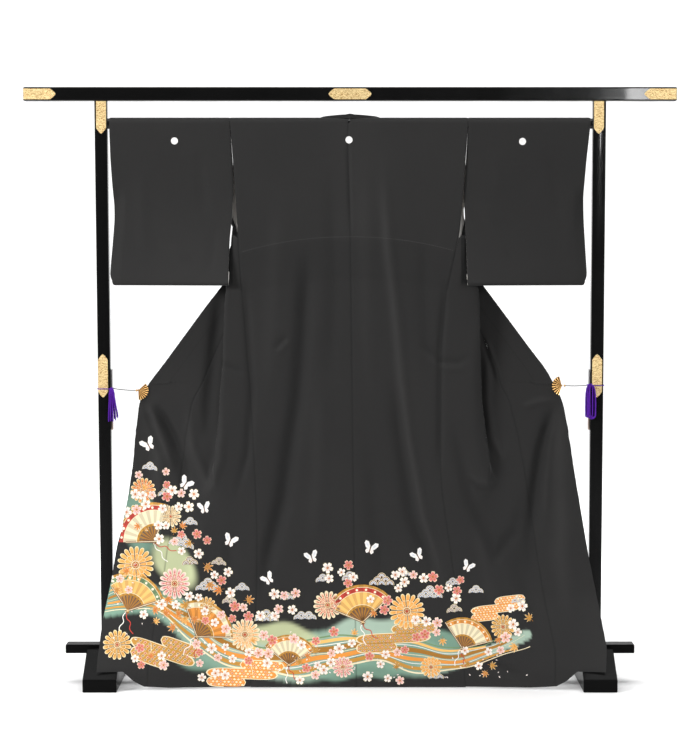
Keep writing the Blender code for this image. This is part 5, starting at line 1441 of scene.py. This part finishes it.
def buildClip(side):
    clip = fanClips[side]
    across = np.linspace(0, 1, clipShape["ribs"] * 8 + 1)
    angles = np.radians(clip["aim"] + (across - 0.5) * clip["spread"])
    wave = np.cos(across * 2 * math.pi * clipShape["ribs"])
    parts, tones = [], []
    for depth, size, rise in ((clipShape["front"], 1.0, clipShape["rise"]), (clipShape["back"], 0.86, 0.0)):
        grid = []
        for share in np.linspace(0.07, 1, 12):
            reach = clip["reach"] * size * share * (1 - 0.05 * share ** 6 * (1 - wave) / 2)
            grid.append(np.stack([clip["apex"][0] + reach * np.cos(angles), depth - rise * wave * share ** 0.7,
                                  clip["apex"][1] + reach * np.sin(angles)], axis=-1))
        grid = np.array(grid)
        normals = np.zeros(grid.shape) + (0, -1, 0)
        places, faces, _ = shellParts(grid, normals, clipShape["thick"] / 2, False)
        parts.append((places, faces.tolist()))
        # Painted shade: dark between the ribs, the gilt colour on them.
        toned = np.array(clipShape["dark"]) + (np.array(clipShape["bright"]) - clipShape["dark"]) * (
            np.clip(0.45 + 1.3 * wave, 0, 1)[None, :, None] * np.ones(grid.shape[:2] + (1,)))
        tones += [toned.reshape(-1, 3)] * 2
    for (x, z), size in ((clip["knob"], clipShape["knob"]), (clip["apex"], clipShape["knob"] * 0.85)):
        knob, count, around = [], 9, 20
        for k in range(count):  # a rounded button on a short neck
            angle = math.pi * k / (count - 1)
            ring = size * max(math.sin(angle), 0.05)
            knob.append(np.column_stack((arc(ring, 0, 2 * math.pi, around + 1, (x, z))[:-1],
                                         np.full(around, -0.0020 - size * 0.9 * math.cos(angle)))))
        knob = np.array(knob)[..., [0, 2, 1]].reshape(-1, 3)
        parts.append((knob, tubeFaces(count, around)))
        tones.append(np.tile(np.array(clipShape["bright"]) * 0.45, (count * around, 1)))
    places, faces = gather(parts)
    piece = addMesh("fanClip" + names[side].title(), places, faces, [ribbedGilt], sharp=35)
    colours = np.ones((len(places), 4))
    colours[:, :3] = np.concatenate(tones)
    paint(piece, colours)
    return wear(piece, "gilt_brass", "fan_clip_" + names[side])


clipCords = {  # from the clip's knob to the upright
    -1: ((-0.6000, -0.0012, 0.8236), (-0.6615, -0.0120, 0.8298)),
    1: ((0.6038, -0.0012, 0.8371), (0.6641, -0.0120, 0.8390))}
cordSize = {"clip": 0.0012, "wrap": 0.0014, "strand": 0.0020}


def buildClipCord(side):
    start, end = (np.array(p) for p in clipCords[side])
    shares = np.linspace(0, 1, 60)[:, None]
    path = start + (end - start) * shares - np.array((0, 0, 0.0012)) * np.sin(shares * math.pi)
    places, faces = rope(path, cordSize["clip"], lay=1500.0)
    piece = wear(addMesh("clipCord" + names[side].title(), places, faces, [greyCord]), "grey_cord",
                 "clip_cord_" + names[side])
    [tuple(p) for p in path[::4]] + [tuple(path[-1])]
    return piece


wraps = {-1: {"x": (-0.7053, -0.6629), "y": (-0.0179, 0.0165), "z": 0.8290},
         1: {"x": (0.6653, 0.7097), "y": (-0.0179, 0.0165), "z": 0.8388}}


def buildWrap(side):
    box = wraps[side]
    (low, high), (near, far) = box["x"], box["y"]
    corner = 0.003
    path = []
    for x, y, start in ((high, near, -90), (high, far, 0), (low, far, 90), (low, near, 180)):
        mid = (x - math.copysign(corner, x - (low + high) / 2), y - math.copysign(corner, y))
        path += [(a, b, box["z"]) for a, b in arc(corner, math.radians(start), math.radians(start + 90), 7, mid)]
    closedPath = []
    for a, b in zip(path, path[1:] + path[:1]):
        steps = max(1, int(math.dist(a, b) / 0.0008))
        closedPath += [np.array(a) + (np.array(b) - a) * k / steps for k in range(steps)]
    places, faces = rope(closedPath, cordSize["wrap"], lay=900.0, closed=True)
    piece = addMesh("cordWrap" + names[side].title(), places, faces, [purpleYarn])
    return wear(piece, "purple_silk", "cord_wrap_" + names[side])


leftStrands = (  # x of the waist, x, y and z of the end; the far ones take a darker copy of the yarn as painted shade
    (-0.6700, -0.6712, -0.0190, 0.7440), (-0.6660, -0.6655, -0.0192, 0.7385),
    (-0.6618, -0.6585, -0.0190, 0.7450),
    (-0.6585, -0.6510, -0.0192, 0.7500), (-0.6720, -0.6738, -0.0234, 0.7372),
    (-0.6682, -0.6684, -0.0236, 0.7395),
    (-0.6642, -0.6618, -0.0236, 0.7376), (-0.6602, -0.6548, -0.0234, 0.7412),
    (-0.6572, -0.6484, -0.0230, 0.7470))
# The far strands and loops take the darker yarn as painted shade.
farStrands, farLoops = 4, (0, 2)
rightLoops = (  # x of the two legs, y and lowest z
    (0.6605, 0.6830, -0.0225, 0.7480), (0.6640, 0.6855, -0.0262, 0.7462), (0.6670, 0.6800, -0.0240, 0.7540),
    (0.6625, 0.6765, -0.0280, 0.7500), (0.6690, 0.6845, -0.0298, 0.7500), (0.6572, 0.6655, -0.0290, 0.7512))


def buildTassel(side):
    parts, shaded = [], []
    if side < 0:
        for k, (waist, x, y, z) in enumerate(leftStrands):
            points = np.array([(-0.6660, y, 0.8335), (-0.6660 + (waist + 0.666) * 0.7, y, 0.8270),
                               (waist, y, 0.8080), ((waist * 2 + x) / 3, y, 0.7850), (x, y, 0.7600), (x, y, z)])
            path = smoothLine(points)
            size = np.interp(np.linspace(0, 1, len(path)), (0, 0.12, 0.9, 1), (0.9, 1, 0.96, 0.70))
            near = 0.90 if k >= farStrands else 1.08
            parts.append(rope(path, cordSize["strand"] * size * near, lay=700.0))
            shaded += [k < farStrands] * len(parts[-1][1])
    else:
        for k, (low, high, y, z) in enumerate(rightLoops):
            wide = (high - low) / 2
            bottom = [(low + wide * (1 - math.cos(a)), y, z + wide * 0.9 * (1 - math.sin(a)))
                      for a in np.linspace(0, math.pi, 7)]
            points = np.array([(0.6680, y, 0.8440), (0.6640 + (low - 0.664) * 0.5, y, 0.8360), (low, y, 0.8150),
                               *bottom, (high, y, 0.8150), (0.6760 + (high - 0.676) * 0.5, y, 0.8360),
                               (0.6715, y, 0.8440)])
            parts.append(rope(smoothLine(points), cordSize["strand"] * 0.9, lay=700.0))
            shaded += [k in farLoops] * len(parts[-1][1])
    places, faces = gather(parts)
    piece = addMesh("tassel" + names[side].title(), places, faces, [purpleYarn, shadedPurple],
                    np.array(shaded, np.int32))
    return wear(piece, "purple_silk", "tassel_" + names[side])


for side in (-1, 1):
    buildClip(side)
    buildClipCord(side)
    buildWrap(side)
    buildTassel(side)
print("clips, cords and tassels done")
# The stand

uprights = {  # inner and outer edge at the foot and under the beam
    -1: {"low": (0.6655, 0.6995), "high": (0.6738, 0.7088)},
    1: {"low": (0.6705, 0.7058), "high": (0.6738, 0.7100)}}
uprightShape = {"low": 0.1093, "high": 1.6282, "halfDepth": 0.015, "edge": 0.0012}
strips = {"wide": 0.0046, "halfDepth": 0.009, "low": 0.7135, "high": 0.8835, "edge": 0.0005, "gap": 0.0002}


def uprightEdge(side, which, z):
    part = uprights[side]
    share = (z - uprightShape["low"]) / (uprightShape["high"] - uprightShape["low"])
    return part["low"][which] + (part["high"][which] - part["low"][which]) * share


# A planed bar from sections of inner x, outer x and height, with its long edges taken off.
def planedBar(name, side, sections, halfDepth, edge, material):
    rings = []
    for inner, outer, z, inset in sections:
        low, high, near = inner + inset, outer - inset, halfDepth - inset
        outline = []
        for x, y, start in ((high - edge, near - edge, 0), (low + edge, near - edge, 90),
                            (low + edge, edge - near, 180), (high - edge, edge - near, 270)):
            corner = arc(edge, math.radians(start), math.radians(start + 90), 5, (x, y))
            outline += [(side * a, b, z) for a, b in corner]
        rings.append(outline)
    places = [point for ring in rings for point in ring]
    faces = tubeFaces(len(rings), len(rings[0]))
    if side < 0:
        faces = [face[::-1] for face in faces]
    return addMesh(name, places, faces, [material], sharp=50)


def buildUpright(side):
    low, high = uprightShape["low"], uprightShape["high"]
    sections = [(uprightEdge(side, 0, z), uprightEdge(side, 1, z), z, 0.0) for z in np.linspace(low, high, 25)]
    piece = planedBar("upright" + names[side].title(), side, sections, uprightShape["halfDepth"],
                      uprightShape["edge"], lacquer)
    return wear(piece, "black_lacquer", "upright_" + names[side])


def buildStrip(side):
    low, high, edge = strips["low"], strips["high"], strips["edge"]
    sections = []
    for z, inset in ((low, edge), (low + edge, 0), *((z, 0) for z in np.linspace(low + 0.01, high - 0.01, 15)),
                     (high - edge, 0), (high, edge)):
        outer = uprightEdge(side, 0, z) - strips["gap"]
        sections.append((outer - strips["wide"], outer, z, inset))
    piece = planedBar("jointStrip" + names[side].title(), side, sections, strips["halfDepth"], 0.0008, steel)
    return wear(piece, "dark_steel", "joint_strip_" + names[side])


for side in (-1, 1):
    buildUpright(side)
    buildStrip(side)


def dressStand():
    byMaterial = {lacquer: ("top_beam", "hanging_bar"),
                  footLacquer: ("foot_left", "foot_right", "lower_plank"),
                  engravedGilt: ("plate_beam_left", "plate_beam_centre", "plate_beam_right", "plate_top_left",
                                 "plate_top_right", "plate_middle_left", "plate_middle_right")}
    for material, nodes in byMaterial.items():
        for name in nodes:
            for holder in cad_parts[name].material_slots:
                holder.material = material


dressStand()
print("stand done")


# Studio

studio = {"floor": 0.74, "flag": 0.12, "flagFrom": -1.25, "flagTo": -0.95, "world": 0.40, "behindCamera": 0.08,
          "glow": 0.52, "glowFrom": 0.5, "glowTo": 2.2, "far": 8.6}
lamps = (  # name, place, aim, width, height, power
    ("key", (-4.6, -3.5, 2.6), (0, 0, 0.9), 1.6, 1.6, 335), ("fill", (3.8, -4.2, 2.2),
    (0, 0, 0.9), 2.5, 2.5, 122),
    ("top", (0, 0.3, 4.6), (0, 0.3, 0), 4.0, 3.0, 260), ("back", (0, 5.2, 4.2), (0, 0, 0.9), 4.0, 1.5, 110),
    ("strip", (1.605, -6.0, 1.99), (0.81, 0, 1.62), 0.14, 0.5, 9.0))


def makeStudio():
    shape = bmesh.new()
    far, bend = studio["far"], 1.2
    profile = [(-9.0, 0.0), (far - bend, 0.0)]
    profile += [(far - bend + bend * math.sin(a), bend - bend * math.cos(a))
                for a in np.linspace(0.1, math.pi / 2, 10)]
    profile += [(far, 7.0)]
    left = [shape.verts.new((-9, y, z)) for y, z in profile]
    right = [shape.verts.new((9, y, z)) for y, z in profile]
    for k in range(len(profile) - 1):
        shape.faces.new((left[k], right[k], right[k + 1], left[k + 1]))
    mesh = bpy.data.meshes.new("floor")
    shape.to_mesh(mesh)
    shape.free()
    mesh.shade_smooth()
    material, paintWire, shader = newMaterial("paleFloor", Roughness=0.9, Emission_Strength=studio["glow"])
    tone = limit(paintWire, noiseAt(paintWire, 3.0), 0.2, 0.8)
    level, flag = studio["floor"], studio["flag"]
    pale = tone.blend((level, level, level, 1), (level * 0.98,) * 3 + (1,))
    depth = paintWire.make("SeparateXYZ", None, {0: objectPlace(paintWire)}, out=1)
    inFront = limit(paintWire, depth, studio["flagFrom"], studio["flagTo"])
    behind = limit(paintWire, depth, studio["glowFrom"], studio["glowTo"])
    join(material, shader, Base_Color=inFront.blend((flag, flag, flag, 1), pale),
         Emission_Color=behind.blend((0, 0, 0, 1), (1, 1, 1, 1)))
    mesh.materials.append(material)
    floor = bpy.data.objects.new("floor", mesh)
    scene.collection.objects.link(floor)

    world = bpy.data.worlds.new("studio")
    world.use_nodes = True
    sky = Wire(world.node_tree)
    behind = sky.make("SeparateXYZ", None, {0: sky.make("TexCoord")}, out=1)
    dark = studio["behindCamera"]
    shade = limit(sky, behind, -0.93, -0.55).blend((dark, dark, dark, 1), (1, 1, 1, 1))
    background = world.node_tree.nodes["Background"]
    world.node_tree.links.new(shade.socket, background.inputs[0])
    background.inputs[1].default_value = studio["world"]
    scene.world = world
    for name, place, aim, width, height, power in lamps:
        light = bpy.data.lights.new(name, "AREA")
        light.shape = "RECTANGLE"
        light.size, light.size_y = width, height
        light.energy = power
        lamp = bpy.data.objects.new(name, light)
        lamp.location = place
        lamp.rotation_euler = (Vector(aim) - Vector(place)).to_track_quat("-Z", "Y").to_euler()
        scene.collection.objects.link(lamp)


makeStudio()
print("studio done")
